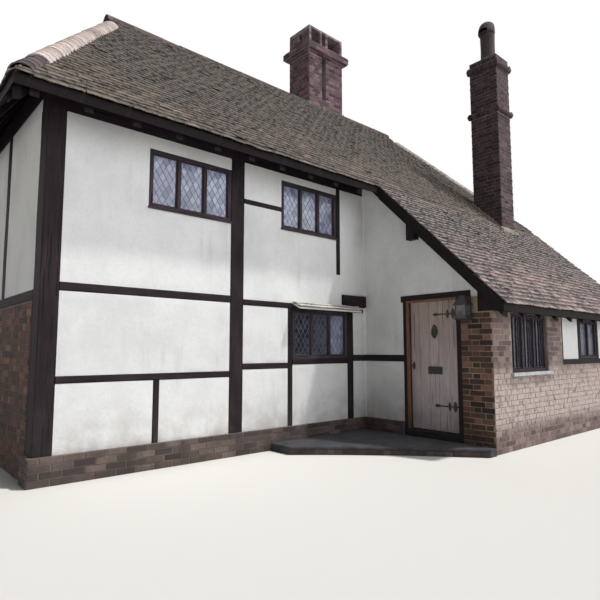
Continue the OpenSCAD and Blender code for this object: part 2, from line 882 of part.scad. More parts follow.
// The outline of a decorated strap: a bar with two crosswise leaves and a pointed tip
module strap_outline() {
    translate([0, -band_h / 5]) square([0.85 * strap_l, band_h * 2 / 5]);
    translate([0.16 * strap_l, 0]) rotate(90) pointed_leaf(3.2 * band_h, 1.2 * band_h);
    translate([0.38 * strap_l, 0]) rotate(90) pointed_leaf(2.7 * band_h, 0.9 * band_h);
    translate([0.86 * strap_l, 0]) pointed_leaf(0.28 * strap_l, 0.9 * band_h);
}

// Turns an outline to lie on the outside of the door, its own x along +Y
module on_door(y, z, thick) {
    translate([leaf_x, y, z]) rotate([90, 0, 90]) translate([0, 0, -thick]) linear_extrude(thick) children();
}

module door_ironwork() {
    letter_y = -1310;
    letter_z = 1070;
    knocker_z = 1635;
    latch_y = -door_from_wall - 60;
    color(iron) from_corner() {
        for (z = hinge_z) on_door(leaf_right_y + stop_w + 5, z + barrel_h / 2, iron_t) strap_outline();
        on_door(letter_y - letter_plate[0] / 2, letter_z - letter_plate[1] / 2, iron_t) square(letter_plate);
        on_door(letter_y, knocker_z, iron_t) rotate(90) pointed_leaf(knocker_h, knocker_h / 2);
        translate([leaf_x - 2 * iron_t, letter_y, knocker_z - knocker_h / 8]) rotate([0, 90, 0])
            rotate_extrude($fn = fine) translate([knocker_h / 5, 0]) circle(r = iron_t + 2, $fn = 16);
        on_door(latch_y, letter_z + 60, iron_t) rotate(90) pointed_leaf(130, 45);
        translate([leaf_x - 4 * iron_t, latch_y, letter_z + 60]) rotate([0, 90, 0])
            cylinder(h = 4 * iron_t, r = 8, $fn = 24);
        translate([leaf_x - 5 * iron_t, latch_y, letter_z + 60]) rotate([0, 90, 0])
            cylinder(h = 2 * iron_t, r = 20, $fn = 24);
    }
}

// Lantern on the brick pier: a back plate, a base, four bars and a hipped cap
module wall_lantern() {
    y1 = pier_left_y - 20;
    y0 = y1 - lantern_w;
    x0 = outshut_x - lantern_out;
    x1 = x0 + lantern_w - 30;
    bar = 12;
    eaves = lantern_z + 0.6 * lantern_h;
    top = lantern_z + lantern_h;
    color(iron) from_corner() {
        span([outshut_x - iron_t, y0 + 40, lantern_z], [outshut_x, y1 - 40, top]);
        span([x1 - bar, y0 + 60, eaves], [outshut_x, y1 - 60, eaves + 30]);
        span([x0, y0, lantern_z], [x1, y1, lantern_z + 15]);
        for (x = [x0 + bar, x1 - 2 * bar], y = [y0 + bar, y1 - 2 * bar])
            span([x, y, lantern_z], [x + bar, y + bar, eaves]);
        intersection() {
            along_x(x0 - bar, x1, [[y0 - bar, eaves], [y1 + bar, eaves], [(y0 + y1) / 2 + 30, top],
                [(y0 + y1) / 2 - 30, top]]);
            along_y(y0 - bar, y1 + bar, [[x0 - bar, eaves], [x1, eaves], [(x0 + x1) / 2 + 30, top],
                [(x0 + x1) / 2 - 30, top]]);
        }
    }
}

// Step in the corner of the two walls, its front edge a curve between its two ends
module front_step() {
    near = [outshut_x - step_side, -outshut_depth - 24];
    far = [outshut_x - step_run, -step_end_d];
    bend = (near + far) / 2 + [0, step_side];
    curve = [for (i = [0:8]) let (t = i / 8)
        (1 - t) * (1 - t) * near + 2 * t * (1 - t) * bend + t * t * far];
    color([0.62, 0.60, 0.57]) from_corner()
        linear_extrude(step_h) polygon(concat([[outshut_x - plinth_out, -plinth_out],
            [outshut_x - plinth_out, near[1]]], curve, [[far[0], -plinth_out]]));
}

// Roof

// A long slope's tiles and battens between two distances behind the main wall
module long_slope(x0, x1, y0, y1) {
    along_x(x0, x1, [[y0, front_z(y0)], [y1, front_z(y1)], [y1, front_z(y1) - tile_v],
        [y0, front_z(y0) - tile_v]]);
}

// Plan of a long slope, from the eaves to the ridge, as seen from above
module long_plan() {
    gy = gablet_run - eaves_out;
    linear_extrude(ridge_z + 1000) polygon([[-end_out, -eaves_out], [gablet_x, gy], [gablet_x, ridge_y],
        [main_length - gablet_x, ridge_y], [main_length - gablet_x, gy], [right_x, -eaves_out]]);
}

module front_roof() {
    color(tile) from_corner() difference() {
        intersection() {
            long_slope(-end_out, right_x, -eaves_out, ridge_y);
            long_plan();
        }
        chimney_spaces();
    }
}

module catslide_roof() {
    color(tile) from_corner() difference() {
        long_slope(verge_x, right_x, low_y, -eaves_out);
        chimney_spaces();
    }
}

module mirrored_y() {
    translate([0, main_depth, 0]) mirror([0, 1, 0]) children();
}

module mirrored_x() {
    translate([main_length, 0, 0]) mirror([1, 0, 0]) children();
}

module rear_roof() {
    color(tile) from_corner() difference() {
        mirrored_y() intersection() {
            long_slope(-end_out, right_x, -eaves_out, ridge_y);
            long_plan();
        }
        chimney_spaces();
    }
}

module hip_plan() {
    gy = gablet_run - eaves_out;
    linear_extrude(ridge_z + 1000) polygon([[-end_out, -eaves_out], [gablet_x, gy],
        [gablet_x, main_depth - gy], [-end_out, main_depth + eaves_out]]);
}

module hip_slope_solid(x0, x1, top, thick) {
    along_y(-eaves_out, main_depth + eaves_out, [[x0, eaves_z - top + hip_slope * (x0 + end_out)],
        [x1, eaves_z - top + hip_slope * (x1 + end_out)],
        [x1, eaves_z - top - thick + hip_slope * (x1 + end_out)],
        [x0, eaves_z - top - thick + hip_slope * (x0 + end_out)]]);
}

module hip_roof() {
    intersection() {
        hip_slope_solid(-end_out, gablet_x, 0, tile_v);
        hip_plan();
    }
}

module hip_roofs() {
    color(tile) from_corner() {
        hip_roof();
        mirrored_x() hip_roof();
    }
}

module gablet() {
    low = eaves_z + hip_slope * (gablet_x + end_out) - tile_v;
    intersection() {
        span([gablet_x, 0, low], [gablet_x + gablet_t, main_depth, ridge_z]);
        under_long(gablet_x, gablet_x + gablet_t, tile_v);
    }
}

module ridge_tiles() {
    color(tile) from_corner() difference() {
        translate([gablet_x, ridge_y, ridge_z - capping_drop]) rotate([0, 90, 0])
            cylinder(h = main_length - 2 * gablet_x, r = ridge_r, $fn = fine);
        under_long(gablet_x - 1, main_length - gablet_x + 1, -seat_gap);
        chimney_spaces();
    }
}

// One hip's bonnet tiles, as a round capping that follows the hip line
module hip_capping() {
    run_x = gablet_x + end_out;
    run_y = gablet_run;
    rise = slope * run_y;
    plan = sqrt(run_x * run_x + run_y * run_y);
    length = sqrt(plan * plan + rise * rise);
    difference() {
        translate([-end_out, -eaves_out, eaves_z - capping_drop]) rotate([0, 0, atan2(run_y, run_x)])
            rotate([0, 90 - atan2(rise, plan), 0])
            cylinder(h = length - bonnet_r / 2, r = bonnet_r, $fn = fine);
        under_roof(-seat_gap);
        span([-end_out - bonnet_r, -eaves_out - bonnet_r, 0], [0, main_depth, eaves_z - tile_v]);
    }
}

module hip_tiles() {
    color([0.62, 0.50, 0.42]) from_corner() {
        hip_capping();
        mirrored_y() hip_capping();
        mirrored_x() hip_capping();
        mirrored_x() mirrored_y() hip_capping();
    }
}

// Middle of rafter number i
function rafter_x(i) = -end_out + rafter_first + i * rafter_gap;

// Rafters from number i0 to i1, between two distances behind the main wall
module long_rafter_set(i0, i1, y0, y1) {
    for (i = [i0:i1])
        along_x(rafter_x(i) - rafter_w / 2, rafter_x(i) + rafter_w / 2,
            [[y0, front_z(y0) - tile_v - seat_gap], [y1, front_z(y1) - tile_v - seat_gap],
            [y1, front_z(y1) - under_v], [y0, front_z(y0) - under_v]]);
}

last_rafter = floor((right_x + end_out - 2 * rafter_first) / rafter_gap);

// The upright slab that a hip rafter stands in, wider by a gap on each side
module hip_slab(gap, drop, depth) {
    run_x = gablet_x + end_out;
    turn = atan2(gablet_run, run_x);
    plan = sqrt(run_x * run_x + gablet_run * gablet_run);
    rise = slope * gablet_run;
    start = 2 * rafter_end;
    function line_z(s) = eaves_z - drop + rise * s / plan;
    translate([-end_out, -eaves_out, 0]) rotate([0, 0, turn]) translate([0, hip_rafter_w / 2 + gap, 0])
        rotate([90, 0, 0]) linear_extrude(hip_rafter_w + 2 * gap)
        polygon([[start, line_z(start)], [plan, line_z(plan)], [plan, line_z(plan) - depth],
            [start, line_z(start) - depth]]);
}

module all_hip_slabs(gap) {
    hip_slab(gap, 0, ridge_z);
    mirrored_y() hip_slab(gap, 0, ridge_z);
    mirrored_x() hip_slab(gap, 0, ridge_z);
    mirrored_x() mirrored_y() hip_slab(gap, 0, ridge_z);
}

// A hip rafter: its back is cut to both slopes, its foot notched over the wall plates
module hip_rafter() {
    difference() {
        intersection() {
            hip_slab(0, tile_v, hip_rafter_v);
            under_roof(tile_v + seat_gap);
        }
        span([gablet_x, 0, 0], [hip_x, main_depth, ridge_z]);
        plate_solids();
    }
}

module long_rafters() {
    color(wood) from_corner() difference() {
        for (side = [0, 1]) intersection() {
            if (side == 0) long_rafter_set(0, last_rafter, -eaves_out + rafter_end, ridge_y - ridge_board_t / 2);
            else mirrored_y()
                long_rafter_set(0, last_rafter, -eaves_out + rafter_end, ridge_y - ridge_board_t / 2);
            union() {
                long_plan();
                mirrored_y() long_plan();
            }
        }
        chimney_spaces(trimmer_gap);
        all_hip_slabs(seat_gap);
        span([gablet_x, 0, 0], [gablet_x + gablet_t, main_depth, ridge_z]);
        span([main_length - gablet_x - gablet_t, 0, 0], [main_length - gablet_x, main_depth, ridge_z]);
    }
}

// Jack rafters under a hip slope
module hip_rafter_set() {
    count = floor((main_depth + 2 * eaves_out - 2 * rafter_first) / rafter_gap);
    start = (main_depth - count * rafter_gap) / 2;
    difference() {
        intersection() {
            hip_slope_solid(-end_out + rafter_end, gablet_x, tile_v + seat_gap, rafter_v - seat_gap);
            hip_plan();
            for (i = [0:count])
                span([-end_out, start + i * rafter_gap - rafter_w / 2, 0],
                    [gablet_x, start + i * rafter_gap + rafter_w / 2, ridge_z]);
        }
        all_hip_slabs(seat_gap);
    }
}

// Rafters of the long slope below the main eaves, in line with those above
module catslide_rafter_set() {
    barge_x = verge_x + barge_in + barge_t;
    first = ceil((barge_x + rafter_w / 2 + 5 - rafter_x(0)) / rafter_gap);
    difference() {
        long_rafter_set(first, last_rafter, low_y + rafter_end, -eaves_out + rafter_end - seat_gap);
        chimney_spaces(trimmer_gap);
    }
}

module short_rafters() {
    color(wood) from_corner() {
        hip_rafter_set();
        mirrored_x() hip_rafter_set();
        catslide_rafter_set();
        hip_rafter();
        mirrored_y() hip_rafter();
        mirrored_x() hip_rafter();
        mirrored_x() mirrored_y() hip_rafter();
    }
}

// Boards of the gablets, the bargeboard at the verge, and the ridge board between the rafters
module roof_boards() {
    y0 = low_y + rafter_end / 2;
    y1 = -eaves_out;
    top = tile_v + seat_gap;
    ridge_x = gablet_x + gablet_t + seat_gap;
    color(wood) from_corner() {
        gablet();
        mirrored_x() gablet();
        along_x(verge_x + barge_in, verge_x + barge_in + barge_t, [[y0, front_z(y0) - top],
            [y1, front_z(y1) - top], [y1, front_z(y1) - top - barge_h], [y0, front_z(y0) - top - barge_h]]);
        intersection() {
            span([ridge_x, ridge_y - ridge_board_t / 2 + seat_gap, ridge_z - tile_v - ridge_board_h],
                [main_length - ridge_x, ridge_y + ridge_board_t / 2 - seat_gap, ridge_z]);
            under_roof(top);
        }
    }
}

// Chimneys

// A band round a chimney: its profile [out, z] goes round all four sides and mitres at the corners
module chimney_band(x0, y0, w, d, profile) {
    last = len(profile) - 1;
    intersection() {
        along_x(x0 - w, x0 + 2 * w, concat([for (p = profile) [y0 - p[0], p[1]]],
            [for (i = [0:last]) [y0 + d + profile[last - i][0], profile[last - i][1]]]));
        along_y(y0 - d, y0 + 2 * d, concat([for (p = profile) [x0 - p[0], p[1]]],
            [for (i = [0:last]) [x0 + w + profile[last - i][0], profile[last - i][1]]]));
    }
}

// The open top of one shaft: open above and in front, over a sloping ledge
module flue_top(x0, x1) {
    along_x(x0, x1, [[stack_y - 1, stack_corbel_z + corbel_h + 20], [stack_y + stack_d - jamb_t,
        stack_corbel_z + corbel_h + ledge_rise], [stack_y + stack_d - jamb_t, stack_top_z + 1],
        [stack_y - 1, stack_top_z + 1]]);
}

module ridge_chimney() {
    split = stack_x + left_shaft_w;
    right = stack_x + stack_w;
    color([0.30, 0.17, 0.15]) from_corner() difference() {
        union() {
            span([stack_x, stack_y, 0], [right, stack_y + stack_d, stack_top_z]);
            chimney_band(stack_x, stack_y, stack_w, stack_d, [[0, stack_corbel_z],
                [corbel_out, stack_corbel_z + corbel_edge], [corbel_out, stack_corbel_z + corbel_h - corbel_edge],
                [0, stack_corbel_z + corbel_h]]);
        }
        for (y = [stack_y - corbel_out - 1, stack_y + stack_d - recess_d])
            span([split, y, ridge_z + 2 * ridge_r], [split + recess_w, y + recess_d + corbel_out + 1,
                stack_top_z + 1]);
        flue_top(stack_x + jamb_t, split - jamb_t);
        flue_top(split + recess_w + jamb_t, right - jamb_t);
    }
}

// The profile of a rounded course: a half circle flattened to its own projection
function round_course(z, h, out) =
    [for (i = [0:8]) [out * sin(i * 22.5), z + h / 2 - h / 2 * cos(i * 22.5)]];

module outer_chimney() {
    crown_z = shaft_top_z - crown_drop;
    middle = [shaft_x + shaft_w / 2, -shaft_d / 2, shaft_top_z];
    color([0.33, 0.18, 0.15]) from_corner() {
        span([shaft_x, -shaft_d, 0], [shaft_x + shaft_w, 0, shaft_top_z]);
        chimney_band(shaft_x, -shaft_d, shaft_w, shaft_d,
            round_course(shaft_top_z - string_drop, string_h, string_out));
        chimney_band(shaft_x, -shaft_d, shaft_w, shaft_d, round_course(crown_z, crown_h, crown_out));
        translate(middle) difference() {
            cylinder(h = mortar_h, r1 = shaft_w / 2 - 10, r2 = pot_r + 25, $fn = fine);
            translate([0, 0, -1]) cylinder(h = mortar_h + 2, r = pot_r + seat_gap, $fn = fine);
        }
    }
}

// The side view of the cowl: up its back, round over the top and down to its tip
function cowl_outline(r, low, top) = concat([[r, low]],
    [for (i = [0:10]) let (a = i * 13) [r * (0.2 + 0.8 * cos(a)), top - 0.8 * r * (1 - sin(a))]],
    [[-pot_r - cowl_out, low + ring_h], [-pot_r - cowl_out, low + ring_h - 20], [-r, low]]);

module chimney_pot() {
    inner_r = pot_r - pot_t;
    color([0.30, 0.22, 0.18]) from_corner()
        translate([shaft_x + shaft_w / 2, -shaft_d / 2, shaft_top_z]) {
            difference() {
                union() {
                    cylinder(h = pot_h, r = pot_r, $fn = fine);
                    translate([0, 0, ring_z]) cylinder(h = ring_h, r = pot_r + ring_out, $fn = fine);
                }
                translate([0, 0, 2 * pot_t]) cylinder(h = pot_h, r = inner_r, $fn = fine);
                along_y(-2 * pot_r, 2 * pot_r, [[-2 * pot_r, ring_z + ring_h - pot_r / 2],
                    [-pot_r, ring_z + ring_h + 5], [0, pot_h], [0, pot_h + 1], [-2 * pot_r, pot_h + 1]]);
            }
            difference() {
                along_y(-pot_r, pot_r, cowl_outline(pot_r, pot_h + seat_gap, pot_h + cowl_h));
                along_y(-inner_r, inner_r, [for (p = cowl_outline(inner_r, pot_h - 60,
                    pot_h + cowl_h - pot_t)) [min(p[0], inner_r), p[1]]]);
            }
        }
}

ground_floor();
outshut_floor();
first_floor();
front_plinth();
other_plinths();
front_posts();
front_rails();
front_panels();
end_wall_brick();
end_wall_beams();
end_wall_panels();
rear_frame();
rear_panels();
wall_plates();
purlin_and_girt();
door_posts();
door_wall_beams();
threshold();
over_door_panel();
brick_pier();
outshut_brick();
outshut_timber();
outshut_panels();
outshut_sills();
window_frames();
window_glass();
window_hood();
front_door();
door_ironwork();
door_hinges();
hinge_pins();
wall_lantern();
front_step();
front_roof();
catslide_roof();
rear_roof();
hip_roofs();
roof_boards();
ridge_tiles();
hip_tiles();
long_rafters();
short_rafters();
ridge_chimney();
outer_chimney();
chimney_pot();
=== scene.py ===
"""Looks of a half timbered house: tiles, bricks, timbers, plaster, leaded windows, door.

Places are counted in metres from the main block's front left corner, +X along the front and
+Y to the back, as in the part's source. put_mesh moves them into the frame.
"""
import math
import bpy
import numpy as np
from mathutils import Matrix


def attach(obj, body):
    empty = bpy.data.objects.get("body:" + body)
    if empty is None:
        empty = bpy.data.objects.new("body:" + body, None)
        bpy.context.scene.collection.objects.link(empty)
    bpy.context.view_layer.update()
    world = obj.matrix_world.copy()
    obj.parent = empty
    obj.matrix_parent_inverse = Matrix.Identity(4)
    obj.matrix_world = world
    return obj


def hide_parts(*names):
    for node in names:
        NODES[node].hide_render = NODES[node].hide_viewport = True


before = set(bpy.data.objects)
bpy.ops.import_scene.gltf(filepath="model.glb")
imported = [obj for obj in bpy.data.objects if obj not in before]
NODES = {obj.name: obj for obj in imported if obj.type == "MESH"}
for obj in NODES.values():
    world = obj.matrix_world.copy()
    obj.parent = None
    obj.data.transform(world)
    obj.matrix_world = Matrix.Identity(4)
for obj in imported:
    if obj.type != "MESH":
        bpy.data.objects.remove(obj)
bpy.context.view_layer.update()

CORNER = np.array([5.060, 2.515, 0.0])
X = np.array([1.0, 0.0, 0.0])
Y = np.array([0.0, 1.0, 0.0])
Z = np.array([0.0, 0.0, 1.0])

# Sizes of the house, as in the part's source
LENGTH, DEPTH = 10.120, 5.030
OUT_X, OUT_D = 4.987, 2.246
EAVES_OUT, END_OUT, LOW_OUT, VERGE_OUT = 0.450, 0.430, 0.250, 0.147
EAVES_Z, PLINTH = 3.984, 0.290
PITCH = math.radians(44.5)
SLOPE = math.tan(PITCH)
HIP_RUN = 0.70
HIP_SLOPE = SLOPE / HIP_RUN
RIDGE_Y = DEPTH / 2
RIDGE_Z = EAVES_Z + SLOPE * (RIDGE_Y + EAVES_OUT)
GABLET_X = -END_OUT + HIP_RUN * (RIDGE_Y + EAVES_OUT) - 0.195
GABLET_RUN = (GABLET_X + END_OUT) / HIP_RUN
LOW_Y = -OUT_D - LOW_OUT
VERGE_X = OUT_X - VERGE_OUT
UNDER = 0.210
PLATE_Z = EAVES_Z + SLOPE * EAVES_OUT - UNDER - 0.260
END_PLATE_Z = EAVES_Z + HIP_SLOPE * END_OUT - UNDER - 0.260
PANEL_IN = 0.012
BRICK_T = 0.220
STACK = (6.085, 7.150, RIDGE_Y + 0.035, RIDGE_Y + 0.725, 8.830)
SHAFT = (8.580, 9.100, -0.620, 0.0, 7.680)
POT_R, POT_WALL = 0.155, 0.018


def front_z(y):
    """Height of the tile surface of the front slope at a distance y behind the main wall."""
    return EAVES_Z + SLOPE * (y + EAVES_OUT)


LOW_PLATE_Z = front_z(-OUT_D) - UNDER - 0.119
BEAM_TOP = LOW_PLATE_Z + 0.120


# Mesh making

def put_mesh(name, verts, faces, material, slot, body="root", smooth=False, turn=False, **attributes):
    """Puts whole arrays into one mesh: verts (n, 3) from the corner, faces a list of index arrays.

    Attributes are one number or one vector for each vertex. turn lets the normals be worked out.
    """
    verts = np.asarray(verts, dtype=np.float64).reshape(-1, 3) - CORNER
    faces = [np.asarray(f) for f in faces if len(f)]
    loops = np.concatenate([f.ravel() for f in faces]).astype(np.int32)
    counts = np.concatenate([np.full(len(f), f.shape[1]) for f in faces])
    starts = np.concatenate([[0], np.cumsum(counts)[:-1]]).astype(np.int32)
    mesh = bpy.data.meshes.new(name)
    mesh.vertices.add(len(verts))
    mesh.loops.add(len(loops))
    mesh.polygons.add(len(starts))
    mesh.vertices.foreach_set("co", verts.ravel())
    mesh.loops.foreach_set("vertex_index", loops)
    mesh.polygons.foreach_set("loop_start", starts)
    for key, values in attributes.items():
        values = np.asarray(values, dtype=np.float64)
        if values.size == verts.size:
            mesh.attributes.new(key, "FLOAT_VECTOR", "POINT").data.foreach_set("vector", values.ravel())
        else:
            mesh.attributes.new(key, "FLOAT", "POINT").data.foreach_set("value", values.ravel())
    mesh.update(calc_edges=True)
    mesh.validate()
    if turn:
        turn_outwards(mesh)
    mesh.polygons.foreach_set("use_smooth", np.full(len(mesh.polygons), smooth))
    if smooth:
        mesh.set_sharp_from_angle(angle=math.radians(38))
    mesh.materials.append(material)
    piece = bpy.data.objects.new(name, mesh)
    bpy.context.scene.collection.objects.link(piece)
    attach(piece, body)
    return piece


def turn_outwards(mesh):
    """Works out the normals of closed shells anew, so that all faces point outwards."""
    import bmesh
    work = bmesh.new()
    work.from_mesh(mesh)
    bmesh.ops.recalc_face_normals(work, faces=work.faces)
    work.to_mesh(mesh)
    work.free()


def loft(rings):
    """Closed solids from rings (pieces, rings, points, 3): neighbouring rings are joined by four-sided
    faces and the first and last ring are closed. Points run anticlockwise seen from ahead."""
    m, r, k, _ = rings.shape
    index = np.arange(m * r * k).reshape(m, r, k)
    after = np.roll(index, -1, axis=2)
    sides = np.stack([index[:, :-1], after[:, :-1], after[:, 1:], index[:, 1:]], axis=-1).reshape(-1, 4)
    return rings.reshape(-1, 3), [sides, index[:, 0, ::-1], index[:, -1]]


def joined(parts):
    """Several (verts, faces) pairs as one, the indices of each shifted past those before it."""
    verts, faces, count = [], [], 0
    for v, f in parts:
        verts.append(v)
        faces += [a + count for a in f]
        count += len(v)
    return np.concatenate(verts), faces


def shell(front, back, keep):
    """A closed skin between two grids (nu, nv, 3), over the cells that keep marks: front faces, back
    faces, and side faces wherever the next cell is missing."""
    nu, nv, _ = front.shape
    f = np.arange(nu * nv).reshape(nu, nv)
    b = f + nu * nv
    i, j = np.nonzero(keep)
    pad = np.pad(keep, 1)
    no_left, no_right = ~pad[i, j + 1], ~pad[i + 2, j + 1]
    no_low, no_high = ~pad[i + 1, j], ~pad[i + 1, j + 2]

    def quads(mask, corners):
        return np.stack([g[i[mask] + di, j[mask] + dj] for g, di, dj in corners], axis=-1)

    every = np.ones(len(i), bool)
    faces = np.concatenate([
        quads(every, [(f, 0, 0), (f, 1, 0), (f, 1, 1), (f, 0, 1)]),
        quads(every, [(b, 0, 1), (b, 1, 1), (b, 1, 0), (b, 0, 0)]),
        quads(no_left, [(b, 0, 0), (f, 0, 0), (f, 0, 1), (b, 0, 1)]),
        quads(no_right, [(f, 1, 0), (b, 1, 0), (b, 1, 1), (f, 1, 1)]),
        quads(no_low, [(b, 0, 0), (b, 1, 0), (f, 1, 0), (f, 0, 0)]),
        quads(no_high, [(b, 1, 1), (b, 0, 1), (f, 0, 1), (f, 1, 1)])])
    used, faces = np.unique(faces, return_inverse=True)
    verts = np.concatenate([front.reshape(-1, 3), back.reshape(-1, 3)])[used]
    return verts, [faces.reshape(-1, 4)]


def sway(u, v, seed=0.0):
    """A slow unevenness from -1 to 1: the mean of four sines of two lengths."""
    return (np.sin(1.7 * u + 0.9 * v + seed) + np.sin(2.3 * v - 0.8 * u + 2 * seed)
            + np.sin(5.1 * u + 1.3 + seed) * np.sin(4.3 * v + seed)
            + np.sin(9.7 * u - 7.9 * v + 3 * seed)) / 4


def node_triangles(name):
    """Triangles (t, 3, 3) of a CAD node, counted from the corner."""
    mesh = NODES[name].data
    verts = np.empty(len(mesh.vertices) * 3)
    mesh.vertices.foreach_get("co", verts)
    verts = verts.reshape(-1, 3) + CORNER
    mesh.calc_loop_triangles()
    tris = np.empty(len(mesh.loop_triangles) * 3, dtype=np.int32)
    mesh.loop_triangles.foreach_get("vertices", tris)
    return verts[tris.reshape(-1, 3)]


def node_boxes(name):
    """Lowest and highest corners (m, 2, 3) of a node's separate solids: corners that share a triangle
    take the lowest label among them until nothing changes."""
    tris = node_triangles(name)
    keys, index = np.unique(np.round(tris.reshape(-1, 3), 4), axis=0, return_inverse=True)
    index = index.reshape(-1, 3)
    label = np.arange(len(keys))
    while True:
        low = label[index].min(axis=1)
        after = label.copy()
        np.minimum.at(after, index, low[:, None])
        if (after == label).all():
            break
        label = after
    names, solid = np.unique(label, return_inverse=True)
    low = np.full((len(names), 3), np.inf)
    high = np.full((len(names), 3), -np.inf)
    np.minimum.at(low, solid, keys)
    np.maximum.at(high, solid, keys)
    return np.stack([low, high], axis=1)


# Material making

def rgb(red, green, blue):
    """A colour given from 0 to 255 as it looks on a screen, in linear values."""
    c = np.array([red, green, blue]) / 255.0
    linear = np.where(c <= 0.04045, c / 12.92, ((c + 0.055) / 1.055) ** 2.4)
    return (*linear, 1.0)


def put(tree, kind, inputs=None, **settings):
    """Adds one node: sockets are linked or given values, settings are its own choices."""
    node = tree.nodes.new(kind)
    for key, value in settings.items():
        setattr(node, key, value)
    for key, value in (inputs or {}).items():
        if isinstance(value, bpy.types.NodeSocket):
            tree.links.new(value, node.inputs[key])
        else:
            node.inputs[key].default_value = value
    return node


def maths(tree, operation, *values, clamp=False):
    node = put(tree, "ShaderNodeMath", dict(enumerate(values)), operation=operation, use_clamp=clamp)
    return node.outputs[0]


def times(tree, *values):
    """The product of two or more values."""
    product = values[0]
    for value in values[1:]:
        product = maths(tree, "MULTIPLY", product, value)
    return product


def vectors(tree, operation, *values):
    return put(tree, "ShaderNodeVectorMath", dict(enumerate(values)), operation=operation).outputs[0]


def mix(tree, factor, a, b, mode="MIX"):
    node = put(tree, "ShaderNodeMix", {0: factor, 6: a, 7: b}, data_type="RGBA", blend_type=mode)
    return node.outputs[2]


def shaded(tree, colour, shade):
    """A colour times one number."""
    grey = put(tree, "ShaderNodeCombineColor", {0: shade, 1: shade, 2: shade}).outputs[0]
    return mix(tree, 1.0, colour, grey, "MULTIPLY")


def between(tree, value, low, high):
    """0 below low, 1 above high, smooth between them."""
    node = put(tree, "ShaderNodeMapRange", {"Value": value, "From Min": low, "From Max": high},
               interpolation_type="SMOOTHSTEP")
    return node.outputs["Result"]


def ramp(tree, value, low, high, first, last):
    """first below low, last above high, straight between them."""
    return put(tree, "ShaderNodeMapRange", {"Value": value, "From Min": low, "From Max": high,
                                            "To Min": first, "To Max": last}).outputs["Result"]


def noise(tree, vector, scale, detail=4.0, roughness=0.55, distortion=0.0):
    node = put(tree, "ShaderNodeTexNoise", {"Vector": vector, "Scale": scale, "Detail": detail,
                                            "Roughness": roughness, "Distortion": distortion})
    return node.outputs["Fac"]


def stretched(tree, vector, scale):
    return put(tree, "ShaderNodeMapping", {"Vector": vector, "Scale": scale}).outputs["Vector"]


def object_place(tree):
    return put(tree, "ShaderNodeTexCoord").outputs["Object"]


def height_of(tree, place):
    return put(tree, "ShaderNodeSeparateXYZ", {0: place}).outputs[2]


def attribute(tree, name, output="Fac"):
    return put(tree, "ShaderNodeAttribute", attribute_name=name).outputs[output]


def effect(name, inputs, outputs):
    """An empty effect group with its sockets: (name, kind, value) going in, (name, kind) coming out."""
    group = bpy.data.node_groups.new(name, "ShaderNodeTree")
    for label, kind, value in inputs:
        socket = group.interface.new_socket(label, in_out="INPUT", socket_type=kind)
        if value is not None:
            socket.default_value = value
    for label, kind in outputs:
        group.interface.new_socket(label, in_out="OUTPUT", socket_type=kind)
    return group, group.nodes.new("NodeGroupInput").outputs, group.nodes.new("NodeGroupOutput").inputs


FLOAT, COLOUR, VECTOR = "NodeSocketFloat", "NodeSocketColor", "NodeSocketVector"


def make_three_tones():
    """One of three colours by the piece's own tone from 0 to 1, with a fine mottle over it."""
    group, given, out = effect("three_tones", [
        ("Low", COLOUR, None), ("Middle", COLOUR, None), ("High", COLOUR, None), ("Vector", VECTOR, None),
        ("Mottle Scale", FLOAT, 20.0), ("Mottle", FLOAT, 0.3)], [("Color", COLOUR), ("Height", FLOAT)])
    tone = attribute(group, "tone")
    low = mix(group, maths(group, "MULTIPLY", tone, 2.0, clamp=True), given["Low"], given["Middle"])
    high = mix(group, maths(group, "MULTIPLY_ADD", tone, 2.0, -1.0, clamp=True), low, given["High"])
    spots = noise(group, given["Vector"], given["Mottle Scale"], 6.0, 0.65)
    mottled = shaded(group, high, ramp(group, spots, 0.3, 0.7, 0.55, 1.45))
    group.links.new(mix(group, given["Mottle"], high, mottled), out["Color"])
    group.links.new(spots, out["Height"])
    return group


def make_worn_rim():
    """A worn colour where the piece's own rim value nears 1, broken up by noise."""
    group, given, out = effect("worn_rim", [
        ("Color", COLOUR, None), ("Worn", COLOUR, None), ("Amount", FLOAT, 0.6), ("From", FLOAT, 0.85),
        ("Vector", VECTOR, None), ("Scale", FLOAT, 25.0)], [("Color", COLOUR)])
    rim = between(group, attribute(group, "rim"), given["From"], 1.0)
    patch = between(group, noise(group, given["Vector"], given["Scale"], 3.0), 0.35, 0.6)
    mask = times(group, rim, patch, given["Amount"])
    group.links.new(mix(group, mask, given["Color"], given["Worn"]), out["Color"])
    return group


def make_rain_streaks():
    """Dirt that runs down a wall in streaks and splashes up from the ground."""
    group, given, out = effect("rain_streaks", [
        ("Color", COLOUR, None), ("Dirt", COLOUR, None), ("Streaks", FLOAT, 0.3), ("Splash", FLOAT, 0.5),
        ("Vector", VECTOR, None)], [("Color", COLOUR)])
    streaks = between(group, noise(group, stretched(group, given["Vector"], (9.0, 9.0, 0.7)), 1.0, 5.0, 0.6),
                      0.48, 0.75)
    patches = between(group, noise(group, given["Vector"], 1.3, 4.0), 0.4, 0.75)
    splash = maths(group, "SUBTRACT", 1.0, between(group, height_of(group, given["Vector"]), 0.15, 1.0))
    splash = times(group, splash, between(group, noise(group, given["Vector"], 4.0), 0.3, 0.7))
    mask = maths(group, "ADD", times(group, streaks, patches, given["Streaks"]),
                 times(group, splash, given["Splash"]), clamp=True)
    group.links.new(mix(group, mask, given["Color"], given["Dirt"]), out["Color"])
    return group


